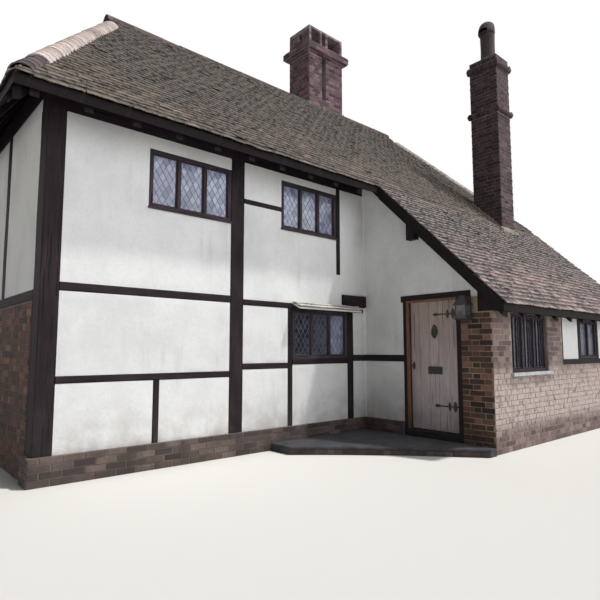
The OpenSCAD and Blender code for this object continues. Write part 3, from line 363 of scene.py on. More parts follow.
def make_wood_grain():
    """Long fibres along the third coordinate, with cracks, as colours between pale and dark."""
    group, given, out = effect("wood_grain", [
        ("Pale", COLOUR, None), ("Dark", COLOUR, None), ("Crack", COLOUR, None), ("Vector", VECTOR, None),
        ("Fineness", FLOAT, 60.0)], [("Color", COLOUR), ("Height", FLOAT)])
    place = stretched(group, given["Vector"], (1.0, 1.0, 0.05))
    fibres = noise(group, place, given["Fineness"], 6.0, 0.7, 0.4)
    broad = noise(group, stretched(group, given["Vector"], (1.0, 1.0, 0.25)), 7.0, 3.0)
    splits = noise(group, stretched(group, given["Vector"], (1.0, 1.0, 0.04)), 38.0, 2.0, 0.5, 0.2)
    crack = between(group, splits, 0.62, 0.70)
    colour = mix(group, between(group, fibres, 0.3, 0.7), given["Dark"], given["Pale"])
    colour = mix(group, between(group, broad, 0.35, 0.7), colour, given["Dark"])
    colour = mix(group, crack, colour, given["Crack"])
    group.links.new(colour, out["Color"])
    group.links.new(maths(group, "SUBTRACT", fibres, times(group, crack, 0.8)), out["Height"])
    return group


def make_growth():
    """Spots of lichen and moss where large patches and small blots meet."""
    group, given, out = effect("growth", [
        ("Color", COLOUR, None), ("Growth", COLOUR, None), ("Amount", FLOAT, 0.5), ("Scale", FLOAT, 1.0),
        ("Vector", VECTOR, None)], [("Color", COLOUR)])
    patches = between(group, noise(group, given["Vector"], given["Scale"], 4.0), 0.42, 0.7)
    blots = between(group, noise(group, given["Vector"], 22.0, 5.0, 0.7), 0.45, 0.62)
    mask = times(group, patches, blots, given["Amount"])
    group.links.new(mix(group, mask, given["Color"], given["Growth"]), out["Color"])
    return group


THREE_TONES = make_three_tones()
WORN_RIM = make_worn_rim()
RAIN_STREAKS = make_rain_streaks()
WOOD_GRAIN = make_wood_grain()
GROWTH = make_growth()


def use(tree, group, **inputs):
    """Places an effect group; a name's underscores stand for spaces."""
    given = {key.replace("_", " "): value for key, value in inputs.items()}
    return put(tree, "ShaderNodeGroup", given, node_tree=group).outputs


def new_material(name):
    material = bpy.data.materials.new(name)
    material.use_nodes = True
    tree = material.node_tree
    return material, tree, tree.nodes["Principled BSDF"]


def finish_surface(tree, shader, colour, height, strength, distance, roughness):
    """Links the colour and a bump to the shader and sets how rough it is."""
    tree.links.new(colour, shader.inputs["Base Color"])
    shader.inputs["Roughness"].default_value = roughness
    bump = put(tree, "ShaderNodeBump", {"Height": height, "Strength": strength, "Distance": distance})
    tree.links.new(bump.outputs["Normal"], shader.inputs["Normal"])


def clay_tiles(name, low, middle, high, worn, worn_amount, moss_amount, tint=0.8, pale_foot=0.0,
               head_shade=0.20, foot_low=2.1, foot_high=3.3):
    """Old plain tiles: three clays by tone, olive to the left and plum to the right, painted shade at each
    head up under the next course and a slight painted highlight on the tails, pale worn tails, moss;
    pale_foot lightens the lowest courses of a roof."""
    material, tree, shader = new_material(name)
    place = object_place(tree)
    tones = use(tree, THREE_TONES, Low=low, Middle=middle, High=high, Vector=place, Mottle_Scale=30.0,
                Mottle=0.75)
    across = put(tree, "ShaderNodeSeparateXYZ", {0: place}).outputs
    where = maths(tree, "ADD", maths(tree, "MULTIPLY_ADD", noise(tree, place, 0.7, 4.0), 5.0, across[0]),
                  times(tree, across[2], 0.6))
    hue = mix(tree, between(tree, where, -1.5, 3.5), rgb(250, 248, 232), rgb(252, 238, 238))
    hue = mix(tree, tint, (1.0, 1.0, 1.0, 1.0), hue)
    colour = mix(tree, 1.0, tones["Color"], hue, "MULTIPLY")
    blots = ramp(tree, noise(tree, place, 1.6, 6.0, 0.7), 0.35, 0.68, 0.68, 1.35)
    foot = ramp(tree, across[2], foot_low, foot_high, 1.0 + pale_foot, 1.0)
    # Painted shade: each tile darker towards its head, up under the next course, by head_shade, with a slight
    # painted highlight (up to 1.12) on its tail.
    head = ramp(tree, attribute(tree, "rim"), 0.45, 0.92, head_shade, 1.12)
    colour = shaded(tree, colour, times(tree, blots, foot, head))
    mossy = use(tree, GROWTH, Color=colour, Growth=rgb(78, 80, 62), Amount=moss_amount, Scale=0.9,
                Vector=place)
    worn_out = use(tree, WORN_RIM, Color=mossy["Color"], Worn=worn, Amount=worn_amount, From=0.80,
                   Vector=place, Scale=14.0)
    finish_surface(tree, shader, worn_out["Color"], tones["Height"], 0.5, 0.006, 0.9)
    return material


def brickwork(name, low, middle, high, worn, dirt, splash=0.4, wash=None):
    """Hand made bricks: three tones, sooty streaks, paler rims; wash is a worn coat of limewash."""
    material, tree, shader = new_material(name)
    place = object_place(tree)
    tones = use(tree, THREE_TONES, Low=low, Middle=middle, High=high, Vector=place, Mottle_Scale=45.0,
                Mottle=0.6)
    rims = use(tree, WORN_RIM, Color=tones["Color"], Worn=worn, Amount=0.5, From=0.2,
               Vector=place, Scale=40.0)
    streaks = use(tree, RAIN_STREAKS, Color=rims["Color"], Dirt=dirt, Streaks=0.6, Splash=splash,
                  Vector=place)
    colour = streaks["Color"]
    if wash is not None:
        height = height_of(tree, place)
        edge = maths(tree, "ADD", height, times(tree, noise(tree, place, 2.5, 5.0), 0.8))
        low_wall = maths(tree, "SUBTRACT", 1.0, between(tree, edge, 1.15, 1.75))
        flakes = between(tree, noise(tree, place, 9.0, 6.0, 0.7), 0.30, 0.52)
        coat = times(tree, low_wall, between(tree, height, 0.18, 0.45), flakes)
        colour = mix(tree, coat, colour, wash)
    finish_surface(tree, shader, colour, tones["Height"], 0.5, 0.004, 0.9)
    return material


def mortar_bed(name, colour, dark):
    material, tree, shader = new_material(name)
    place = object_place(tree)
    grains = noise(tree, place, 130.0, 4.0, 0.7)
    base = mix(tree, between(tree, noise(tree, place, 5.0, 5.0), 0.3, 0.7), colour, dark)
    base = mix(tree, times(tree, between(tree, grains, 0.4, 0.7), 0.3), base, dark)
    streaks = use(tree, RAIN_STREAKS, Color=base, Dirt=rgb(70, 66, 62), Streaks=0.5, Splash=0.3, Vector=place)
    finish_surface(tree, shader, streaks["Color"], grains, 0.6, 0.003, 0.95)
    return material


def limewash(name):
    """Limewashed plaster: off-white, with broad stains, fine trowel marks and splashes at the foot."""
    material, tree, shader = new_material(name)
    place = object_place(tree)
    broad = noise(tree, place, 1.1, 5.0, 0.6)
    fine = noise(tree, place, 26.0, 6.0, 0.65)
    base = mix(tree, between(tree, broad, 0.35, 0.7), rgb(226, 227, 228), rgb(208, 209, 211))
    base = mix(tree, times(tree, between(tree, fine, 0.45, 0.75), 0.25), base, rgb(192, 190, 186))
    dirty = use(tree, RAIN_STREAKS, Color=base, Dirt=rgb(160, 154, 146), Streaks=0.45, Splash=0.6,
                Vector=place)
    trowelled = maths(tree, "ADD", fine, times(tree, noise(tree, place, 7.0, 3.0), 2.0))
    finish_surface(tree, shader, dirty["Color"], trowelled, 0.45, 0.006, 0.9)
    return material


def oak(name, pale, dark, crack, along=None, fineness=60.0, head=None):
    """Timber: the grain follows each member's own coordinates, or one axis of the house. head is a colour
    multiplied in more and more from 0.5 to 2.3 m above the ground, darker towards the top."""
    material, tree, shader = new_material(name)
    place = object_place(tree)
    if along is None:
        vector = attribute(tree, "grain", "Vector")
    else:
        vector = put(tree, "ShaderNodeMapping", {"Vector": place, "Rotation": along}).outputs["Vector"]
    grain = use(tree, WOOD_GRAIN, Pale=pale, Dark=dark, Crack=crack, Vector=vector, Fineness=fineness)
    weathered = use(tree, RAIN_STREAKS, Color=grain["Color"], Dirt=rgb(82, 76, 78), Streaks=0.25, Splash=0.3,
                    Vector=place)
    colour = weathered["Color"]
    if head is not None:
        stained = mix(tree, 1.0, colour, head, "MULTIPLY")
        colour = mix(tree, between(tree, height_of(tree, place), 0.5, 2.3), colour, stained)
    finish_surface(tree, shader, colour, grain["Height"], 0.7, 0.004, 0.75)
    shader.inputs["Specular IOR Level"].default_value = 0.18
    return material


TURN_X = (0.0, math.pi / 2, 0.0)
TURN_Y = (math.pi / 2, 0.0, 0.0)
OAK_TONES = (rgb(52, 41, 46), rgb(28, 22, 25), rgb(10, 9, 10))
tile_front = clay_tiles(
    "old_tiles", rgb(12, 10, 10), rgb(34, 29, 28), rgb(66, 57, 53), rgb(134, 125, 115), 0.75, 0.10,
    pale_foot=3.4, foot_low=3.95, foot_high=5.2)
tile_low = clay_tiles(
    "low_tiles", rgb(17, 13, 15), rgb(50, 43, 44), rgb(88, 77, 75), rgb(162, 153, 148), 0.95, 0.15,
    pale_foot=4.0)
bonnet_clay = clay_tiles("bonnet_clay", rgb(158, 143, 139), rgb(184, 169, 165), rgb(202, 188, 183),
                         rgb(214, 202, 198), 0.8, 0.1, tint=0.0, head_shade=0.85)
ridge_clay = clay_tiles(
    "ridge_clay", rgb(52, 40, 44), rgb(78, 62, 66), rgb(104, 84, 84), rgb(136, 126, 122), 0.6, 0.3,
    tint=0.0, head_shade=0.8)
brick_pier_red = brickwork(
    "pier_brick", rgb(32, 23, 24), rgb(76, 54, 48), rgb(124, 92, 79), rgb(138, 117, 104), rgb(36, 31, 31))
brick_outshut = brickwork("outshut_bricks", rgb(82, 66, 67), rgb(116, 98, 97), rgb(146, 126, 122),
                          rgb(160, 146, 140), rgb(70, 60, 60), wash=rgb(180, 165, 160))
brick_stack = brickwork(
    "stack_bricks", rgb(50, 37, 43), rgb(94, 72, 77), rgb(130, 103, 106), rgb(152, 134, 136),
    rgb(42, 37, 43), splash=0.0)
brick_shaft = brickwork("shaft_bricks", rgb(36, 27, 31), rgb(66, 50, 54), rgb(92, 73, 75), rgb(118, 103, 104),
                        rgb(34, 30, 35), splash=0.0)
brick_plinth = brickwork(
    "plinth_bricks", rgb(52, 43, 42), rgb(84, 70, 66), rgb(112, 96, 90), rgb(124, 112, 104),
    rgb(44, 39, 37), splash=0.7)
mortar_yellow = mortar_bed("yellow_mortar", rgb(172, 156, 130), rgb(124, 112, 96))
mortar_pale = mortar_bed("pale_mortar", rgb(170, 158, 146), rgb(132, 122, 114))
mortar_dark = mortar_bed("grey_mortar", rgb(118, 108, 104), rgb(84, 76, 74))
mortar_stack = mortar_bed("chimney_mortar", rgb(160, 146, 150), rgb(112, 98, 104))
mortar_pink = mortar_bed("hip_mortar", rgb(196, 182, 176), rgb(160, 146, 140))
plaster = limewash("limewash")
oak_black = oak("black_oak", *OAK_TONES)
oak_x = oak("black_oak_x", *OAK_TONES, along=TURN_X)
oak_y = oak("black_oak_y", *OAK_TONES, along=TURN_Y)
# Near black, darker than the other timber: a painted shade, so that the eaves, the slab edges and the boards
# under the roof read as the shadow beneath it.
soffit_wood_painted_shade = oak("soffit_wood_painted_shade", rgb(32, 22, 24), rgb(18, 13, 14), rgb(8, 6, 7), along=TURN_Y)
window_wood = oak("window_wood", rgb(84, 72, 80), rgb(48, 40, 46), rgb(22, 19, 22), fineness=90.0)
hood_wood = oak("hood_wood", rgb(236, 232, 226), rgb(208, 204, 199), rgb(120, 116, 112))
door_wood = oak("door_oak", rgb(212, 201, 201), rgb(178, 167, 170), rgb(130, 120, 124), fineness=70.0,
                head=rgb(224, 212, 200))
lining_wood = oak("lining_oak", rgb(140, 106, 84), rgb(108, 80, 64), rgb(66, 48, 40), fineness=70.0)
floor_wood = oak("floor_oak", rgb(134, 104, 76), rgb(94, 70, 50), rgb(40, 28, 20), along=TURN_X)


def plain_finish(name, colour, second, scale, roughness, strength=0.3):
    """A finish with two close colours in patches and a fine bump."""
    material, tree, shader = new_material(name)
    place = object_place(tree)
    patches = noise(tree, place, scale, 5.0, 0.6)
    fine = noise(tree, place, scale * 9.0, 4.0, 0.6)
    colour = mix(tree, between(tree, patches, 0.35, 0.7), colour, second)
    finish_surface(tree, shader, colour, maths(tree, "ADD", fine, patches), strength, 0.003, roughness)
    return material


iron_black = plain_finish("black_iron", rgb(34, 33, 36), rgb(58, 52, 50), 22.0, 0.5, 0.6)
lead_grey = plain_finish("lead", rgb(84, 86, 98), rgb(112, 114, 126), 30.0, 0.5)
sill_white = plain_finish("sill_paint", rgb(190, 192, 197), rgb(150, 150, 155), 6.0, 0.6)
stone_grey = plain_finish("step_stone", rgb(66, 66, 72), rgb(42, 42, 49), 5.0, 0.9, 0.8)
lantern_pane = plain_finish("lantern_glass", rgb(66, 66, 74), rgb(112, 116, 128), 8.0, 0.25, 0.1)
flag_stone = plain_finish("floor_stone", rgb(146, 138, 126), rgb(116, 108, 98), 2.0, 0.8, 0.5)
pot_clay = plain_finish("pot_clay", rgb(66, 56, 58), rgb(42, 36, 40), 8.0, 0.85, 0.5)


def leaded_glass():
    """Small panes at slightly different angles: each takes a tilt and a painted sky reflection of its own by
    its place in the diamond pattern, which the pane carries as its own coordinates. The glass colour, pale
    blue to lavender, is that painted reflection, in broad brighter and darker patches. day is how much of
    the sky the window shows, little where the room behind is dark; it scales the painted reflection."""
    material, tree, shader = new_material("leaded_glass")
    cell = vectors(tree, "FLOOR", attribute(tree, "quarry", "Vector"))
    chance = put(tree, "ShaderNodeTexWhiteNoise", {"Vector": cell}, noise_dimensions="3D")
    tilt = vectors(tree, "SUBTRACT", chance.outputs["Color"], (0.5, 0.5, 0.5))
    tilt = vectors(tree, "MULTIPLY", tilt, (0.1, 0.1, 0.1))
    normal = vectors(tree, "ADD", put(tree, "ShaderNodeNewGeometry").outputs["Normal"], tilt)
    tree.links.new(vectors(tree, "NORMALIZE", normal), shader.inputs["Normal"])
    shade = maths(tree, "POWER", chance.outputs["Value"], 0.6)
    # Painted reflection: the pale blue to lavender colour stands for the sky mirrored in the panes; broad
    # patches and day make it brighter or darker.
    colour = mix(tree, shade, rgb(116, 124, 156), rgb(188, 196, 226))
    reflection_patches = ramp(tree, noise(tree, object_place(tree), 1.7, 2.0), 0.3, 0.7, 0.75, 1.15)
    colour = shaded(tree, colour, times(tree, reflection_patches, attribute(tree, "day")))
    tree.links.new(colour, shader.inputs["Base Color"])
    shader.inputs["Roughness"].default_value = 0.12
    shader.inputs["Transmission Weight"].default_value = 0.3
    shader.inputs["IOR"].default_value = 1.5
    return material


glass_leaded = leaded_glass()


# Roof: every slope is a field of single tiles

def tile_field(seed, origin, along, up, width, courses, gauge, inset, holes=(), tile_w=0.165, length=0.19,
               run_on=0.0):
    """Tiles of one slope as closed slabs in broken courses.

    Each is a side profile of five points, thin at the head and lifted at the tail, carried across in
    four steps with a slight camber; inset(t) is how far the slope's two sides draw in at a distance t
    up the slope, and a tile that crosses that line is cut to it. run_on lets the last course go on
    under the slope above.
    """
    draw = np.random.default_rng(seed)
    normal = np.cross(along, up)
    row, column = [a.ravel() for a in np.meshgrid(
        np.arange(courses), np.arange(-1, int(width / tile_w) + 2), indexing="ij")]
    count = len(row)
    left = (column + 0.5 * (row % 2)) * tile_w + draw.uniform(-0.004, 0.004, count)
    tail = row * gauge + draw.normal(0, 0.0035, count) - 0.028 * (row == 0)
    lift = 0.020 + draw.uniform(0, 0.005, count) + 0.010 * (draw.random(count) > 0.985)
    skew = draw.normal(0, 0.003, count)
    camber = draw.uniform(0.002, 0.006, count)
    across = np.array([0.02, 0.34, 0.66, 0.98])
    s = left[:, None, None] + across[None, :, None] * tile_w + np.zeros((1, 1, 5))
    back = np.array([0.0, length, length, 0.006, 0.0])
    t = tail[:, None, None] + back[None, None, :] + ((across - 0.5)[None, :, None] * skew[:, None, None])
    t = np.minimum(t, courses * gauge + run_on)
    rise = np.stack([lift, 0 * lift, 0 * lift + 0.012, lift + 0.013, lift + 0.008], axis=-1)
    h = rise[:, None, :] + camber[:, None, None] * (1 - (2 * across - 1) ** 2)[None, :, None]
    s = np.clip(s, inset(t), width - inset(t))
    keep = (s[:, -1, -1] - s[:, 0, -1]) > 0.02
    points = origin + s[..., None] * along + t[..., None] * up
    middle = points.mean(axis=(1, 2))
    for x0, x1, y0, y1, _ in holes:
        keep &= ~((middle[:, 0] > x0) & (middle[:, 0] < x1) & (middle[:, 1] > y0) & (middle[:, 1] < y1))
    h = h + 0.007 * sway(s, t, seed)
    points = (points + h[..., None] * normal)[keep]
    verts, faces = loft(points)
    tone = np.clip(0.5 + draw.normal(0, 0.26, count) + 0.2 * sway(left, tail, seed + 1), 0, 1)[keep]
    rim = np.tile(np.array([1, 0, 0, 1, 1.0]), 4 * keep.sum())
    return verts, faces, np.repeat(tone, 20), rim


COS, SIN = math.cos(PITCH), math.sin(PITCH)
SLOPE_RUN = (RIDGE_Y + EAVES_OUT) / COS
HIP_ANGLE = math.atan(HIP_SLOPE)
HCOS, HSIN = math.cos(HIP_ANGLE), math.sin(HIP_ANGLE)
HIP_LENGTH = (GABLET_X + END_OUT) / HCOS
LOW_RUN = (EAVES_OUT + LOW_Y) / -COS


def long_inset(t):
    return np.clip(HIP_RUN * COS * t, 0, GABLET_X + END_OUT)


def tile_piece(name, material, slot, *fields):
    verts, faces = joined([(f[0], f[1]) for f in fields])
    return put_mesh(name, verts, faces, material, slot, tone=np.concatenate([f[2] for f in fields]),
                    rim=np.concatenate([f[3] for f in fields]))


WIDE = LENGTH + 2 * END_OUT
DEEP = DEPTH + 2 * EAVES_OUT
tile_piece("front_tiles", tile_front, "clay_tile", tile_field(
    11, np.array([-END_OUT, -EAVES_OUT, EAVES_Z]), X, np.array([0, COS, SIN]), WIDE, 42, SLOPE_RUN / 42,
    long_inset, holes=(SHAFT,)))
tile_piece("rear_tiles", tile_front, "clay_tile", tile_field(
    12, np.array([LENGTH + END_OUT, DEPTH + EAVES_OUT, EAVES_Z]), -X, np.array([0, -COS, SIN]), WIDE, 42,
    SLOPE_RUN / 42, long_inset, holes=(STACK,)))
tile_piece("hip_slope_tiles", tile_front, "clay_tile",
           tile_field(13, np.array([-END_OUT, DEPTH + EAVES_OUT, EAVES_Z]), -Y,
                      np.array([HCOS, 0, HSIN]), DEEP,
                      33, HIP_LENGTH / 33, lambda t: t * HCOS / HIP_RUN),
           tile_field(14, np.array([LENGTH + END_OUT, -EAVES_OUT, EAVES_Z]), Y,
                      np.array([-HCOS, 0, HSIN]), DEEP,
                      33, HIP_LENGTH / 33, lambda t: t * HCOS / HIP_RUN))
tile_piece("catslide_tiles", tile_low, "clay_tile", tile_field(
    15, np.array([VERGE_X, LOW_Y, front_z(LOW_Y)]), X, np.array([0, COS, SIN]),
    LENGTH + END_OUT - VERGE_X, 29,
    LOW_RUN / 29, lambda t: 0 * t, holes=(SHAFT,), run_on=0.12))


def capping(seed, start, direction, count, pitch, r_tail, r_head, thick, lift, reach, tone_mid):
    """Curved tiles along a hip or ridge: an arc with thickness, carried from its tail up to its head.

    reach is the arc's half angle; each tile is narrower at the head and its tail rides on the last."""
    draw = np.random.default_rng(seed)
    ahead = direction / np.linalg.norm(direction)
    aside = np.cross(Z, ahead)
    aside = aside / np.linalg.norm(aside)
    up = np.cross(ahead, aside)
    angle = np.linspace(math.pi / 2 - reach, math.pi / 2 + reach, 11)
    step = np.array([0.0, 0.5, 1.0])
    radius = r_tail + (r_head - r_tail) * step
    both = np.concatenate([angle, angle[::-1]])
    wall = np.concatenate([np.zeros(11), np.full(11, thick)])
    r = radius[None, :, None] - wall[None, None, :] + draw.uniform(-0.003, 0.003, count)[:, None, None]
    s = (np.arange(count) * pitch + draw.normal(0, 0.003, count))[:, None, None] + (
        step * pitch * 1.25)[None, :, None] + np.zeros((1, 1, 22))
    raise_by = lift * (1 - step)[None, :, None] + draw.uniform(0, 0.004, count)[:, None, None]
    points = (start + s[..., None] * ahead + (r * np.cos(both))[..., None] * aside
              + (r * np.sin(both) + raise_by)[..., None] * up)
    verts, faces = loft(points)
    tone = np.clip(draw.normal(tone_mid, 0.25, count), 0, 1)
    rim = np.tile(np.repeat([1.0, 0.5, 0.0], 22), count)
    return verts, faces, np.repeat(tone, 66), rim


def hip_line(mirror_x, mirror_y):
    start = np.array([-END_OUT, -EAVES_OUT, EAVES_Z - 0.112])
    end = np.array([GABLET_X, GABLET_RUN - EAVES_OUT, EAVES_Z - 0.112 + SLOPE * GABLET_RUN])
    start += 0.24 * (end - start) / np.linalg.norm(end - start)
    for a in (start, end):
        if mirror_x:
            a[0] = LENGTH - a[0]
        if mirror_y:
            a[1] = DEPTH - a[1]
    return start, end


hips = [hip_line(mx, my) for mx in (False, True) for my in (False, True)]
HIP_EDGE = np.linalg.norm(hips[0][1] - hips[0][0])


def on_hips(seed, past, sink, *shape):
    """One run of curved tiles on each hip, begun a distance past its foot and sunk a little."""
    return [capping(seed + n, start + past * (end - start) / HIP_EDGE - sink * Z, end - start, *shape)
            for n, (start, end) in enumerate(hips)]


DARK_FEET, BONNET_PITCH, BEDS = 4, 0.118, 24
DARK_RUN, BONNET_RUN = DARK_FEET * BONNET_PITCH, HIP_EDGE - 0.05
bonnets = tile_piece("bonnet_tiles", bonnet_clay, "bonnet_tile", *on_hips(
    21, DARK_RUN, 0.0, int(BONNET_RUN / BONNET_PITCH) - DARK_FEET, BONNET_PITCH, 0.150, 0.146, 0.014, 0.002,
    1.25, 0.5))
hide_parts("hip_tiles")
tile_piece("foot_bonnets", ridge_clay, "bonnet_tile", *on_hips(
    27, 0.0, 0.0, DARK_FEET, BONNET_PITCH, 0.140, 0.132, 0.014, 0.004, 1.25, 0.5))
tile_piece("bonnet_mortar", mortar_pink, "bonnet_tile", *on_hips(
    31, DARK_RUN, 0.003, BEDS, (BONNET_RUN - DARK_RUN) / BEDS, 0.145, 0.145, 0.05, 0.0, 1.45, 0.5))
RIDGE_RUN = LENGTH - 2 * GABLET_X
RIDGE_COUNT = round(RIDGE_RUN / 0.45)
ridge_caps = tile_piece("ridge_capping", ridge_clay, "bonnet_tile", capping(
    41, np.array([GABLET_X, RIDGE_Y, RIDGE_Z - 0.095]), X, RIDGE_COUNT, RIDGE_RUN / RIDGE_COUNT / 1.25 * 1.24,
    0.122, 0.120, 0.016, 0.003, 1.5, 0.5))
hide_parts("ridge_tiles")


def roof_board_rings():
    """The triangular boards that close the gablets, the board under the verge and the ridge board,
    each a flat outline in (y, z) carried a little way along X."""
    foot = EAVES_Z + SLOPE * GABLET_RUN - 0.050
    half = RIDGE_Y + EAVES_OUT - GABLET_RUN
    gablet = [(RIDGE_Y - half, foot), (RIDGE_Y + half, foot), (RIDGE_Y, RIDGE_Z - 0.050),
              (RIDGE_Y, RIDGE_Z - 0.051)]
    y0, y1 = LOW_Y + 0.020, -EAVES_OUT
    top, board_h = 0.060, 0.130
    verge = [(y0, front_z(y0) - top - board_h), (y1, front_z(y1) - top - board_h),
             (y1, front_z(y1) - top), (y0, front_z(y0) - top)]
    ridge = [(RIDGE_Y - 0.015, RIDGE_Z - 0.300), (RIDGE_Y + 0.015, RIDGE_Z - 0.300),
             (RIDGE_Y + 0.015, RIDGE_Z - 0.090), (RIDGE_Y - 0.015, RIDGE_Z - 0.090)]
    outline = np.array([gablet, gablet, verge, ridge])
    ends = np.array([(GABLET_X, GABLET_X + 0.060), (LENGTH - GABLET_X - 0.060, LENGTH - GABLET_X),
                     (VERGE_X + 0.010, VERGE_X + 0.045), (GABLET_X + 0.070, LENGTH - GABLET_X - 0.070)])
    x = np.broadcast_to(ends[:, :, None, None], (4, 2, 4, 1))
    return np.concatenate([x, np.broadcast_to(outline[:, None], (4, 2, 4, 2))], axis=-1)


# The gablet, verge and ridge boards take the near-black soffit timber, a painted shade.
roof_board_piece = put_mesh(
    "roof_board_pieces", *loft(roof_board_rings()), soffit_wood_painted_shade, "frame_oak", turn=True)
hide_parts("roof_boards")


# Brickwork

def brick_field(seed, origin, u, width, height, holes=(), top=None, proud=0.006, bond="flemish", course=0.075,
                upwards=Z):
    """Bricks of one wall face in courses of 75 mm, headers and stretchers by turns.

    Each is a closed slab of three rings: its foot in the mortar, its rim, and its face 3 mm further in.
    holes are (u0, u1, v0, v1) openings; a brick that reaches into one is cut to its edge.
    """
    draw = np.random.default_rng(seed)
    out = np.cross(u, upwards)
    joint = 0.010
    sizes = [0.1025, 0.215] if bond == "flemish" else [0.215]
    period = sum(sizes) + joint * len(sizes)
    starts = np.cumsum([0.0] + [a + joint for a in sizes[:-1]])
    rows = max(1, int(math.ceil((height - 0.02) / course)))
    row, turn, kind = [a.ravel() for a in np.meshgrid(
        np.arange(rows), np.arange(-1, int(width / period) + 2), np.arange(len(sizes)), indexing="ij")]
    u0 = turn * period + starts[kind] + 0.5 * period * (row % 2) + draw.normal(0, 0.0015, len(row))
    u1 = u0 + np.array(sizes)[kind] + draw.normal(0, 0.001, len(row))
    v0 = row * course + joint / 2 + draw.normal(0, 0.001, len(row))
    v1 = v0 + course - joint + draw.normal(0, 0.001, len(row))
    u0, u1 = np.clip(u0, 0.001, width - 0.001), np.clip(u1, 0.001, width - 0.001)
    v1 = np.minimum(v1, height - 0.002)
    keep = np.ones(len(row), bool)
    for a0, a1, b0, b1 in holes:
        beside = (v1 > b0 + 0.004) & (v0 < b1 - 0.004)
        um, vm = (u0 + u1) / 2, (v0 + v1) / 2
        inside = beside & (um > a0) & (um < a1) & (vm > b0) & (vm < b1)
        keep &= ~inside
        level = beside & (vm > b0) & (vm < b1)
        u1 = np.where(level & (um <= a0), np.minimum(u1, a0 - 0.002), u1)
        u0 = np.where(level & (um >= a1), np.maximum(u0, a1 + 0.002), u0)
        over = (u1 > a0 + 0.004) & (u0 < a1 - 0.004)
        v1 = np.where(over & ~level & (vm <= b0), np.minimum(v1, b0 - 0.002), v1)
        v0 = np.where(over & ~level & (vm >= b1), np.maximum(v0, b1 + 0.002), v0)
    if top is not None:
        v1 = np.minimum(v1, np.minimum(top(u0), top(u1)) - 0.003)
    keep &= (u1 - u0 > 0.018) & (v1 - v0 > 0.018)
    u0, u1, v0, v1 = u0[keep], u1[keep], v0[keep], v1[keep]
    n = len(u0)
    corner_u = np.stack([u0, u1, u1, u0], axis=-1) + draw.normal(0, 0.0009, (n, 4))
    corner_v = np.stack([v0, v0, v1, v1], axis=-1) + draw.normal(0, 0.0009, (n, 4))
    inwards_u, inwards_v = np.array([1, -1, -1, 1]) * 0.003, np.array([1, 1, -1, -1]) * 0.003
    face = proud + draw.uniform(-0.002, 0.0015, n)
    ring_u = np.stack([corner_u, corner_u, corner_u + inwards_u], axis=1)
    ring_v = np.stack([corner_v, corner_v, corner_v + inwards_v], axis=1)
    deep = np.stack([np.full(n, -0.002), face - 0.003, face], axis=-1)[:, :, None]
    points = origin + ring_u[..., None] * u + ring_v[..., None] * upwards + deep[..., None] * out
    verts, faces = loft(points)
    tone = np.clip(0.5 + draw.normal(0, 0.28, n), 0, 1)
    rim = np.tile(np.repeat([1.0, 1.0, 0.0], 4), n)
    return verts, faces, np.repeat(tone, 12), rim


def corner(x, y, z=0.0):
    return np.array([x, y, z])


LOW_WINDOW = (5.509, 6.660, 1.050, LOW_PLATE_Z)
LOW_PIER_X, LOW_SILL = 7.190, 1.133
DOOR_L = -0.878
DOOR_R, DOOR_TOP = DOOR_L - 0.839, 2.100
PIER_Y = DOOR_R - 0.065
PIER_W = OUT_D + PIER_Y
tile_piece("pier_bricks", brick_pier_red, "brick",
           brick_field(51, corner(OUT_X, PIER_Y), -Y, PIER_W, 2.10, top=lambda d: np.where(
               d > PIER_W - 0.2, LOW_PLATE_Z, front_z(PIER_Y - d) - UNDER)))
tile_piece("outshut_front_bricks", brick_outshut, "brick",
           brick_field(52, corner(OUT_X, -OUT_D), X, LENGTH - OUT_X, LOW_PLATE_Z, holes=(
               (LOW_WINDOW[0] - OUT_X, LOW_WINDOW[1] - OUT_X, LOW_WINDOW[2], 2.0),
               (LOW_WINDOW[0] - OUT_X - 0.05, LOW_WINDOW[1] - OUT_X + 0.05, 1.005, 1.050),
               (LOW_PIER_X - OUT_X, LENGTH - 0.220 - OUT_X, LOW_SILL, 2.0))))
tile_piece("end_wall_bricks", brick_pier_red, "brick",
           brick_field(53, corner(0, DEPTH - 0.25), -Y, DEPTH - 0.5, LOW_PLATE_Z),
           brick_field(54, corner(LENGTH, -OUT_D), Y, OUT_D + DEPTH - 0.25, LOW_PLATE_Z))
tile_piece("plinth_brick_faces", brick_plinth, "plinth_brick", *[
    brick_field(seed, corner(x, y), u, width, PLINTH, bond="stretcher") for seed, x, y, u, width in (
        (55, -0.04, -0.04, X, OUT_X), (56, -0.04, 0.25, -Y, 0.29),
        (57, LENGTH + 0.04, DEPTH + 0.04, -X, LENGTH + 0.08), (58, -0.04, DEPTH + 0.04, -Y, 0.29),
        (59, LENGTH + 0.04, DEPTH - 0.25, Y, 0.29), (60, OUT_X - 0.04, -0.04, -Y, 0.742))])


def sides_of(x0, x1, y0, y1):
    """The front, right, back and left of an upright shaft: each one's start, direction and width."""
    w, d = x1 - x0, y1 - y0
    return ((x0, y0), X, w), ((x1, y0), Y, d), ((x1, y1), -X, w), ((x0, y1), -Y, d)


def four_sides(seed, x0, x1, y0, y1, z0, z1, cuts):
    """Brick fields on the four faces of a shaft between two heights, each with its own openings."""
    return [brick_field(seed + n, corner(*start, z0), u, wide, z1 - z0, cuts[n])
            for n, (start, u, wide) in enumerate(sides_of(x0, x1, y0, y1))]


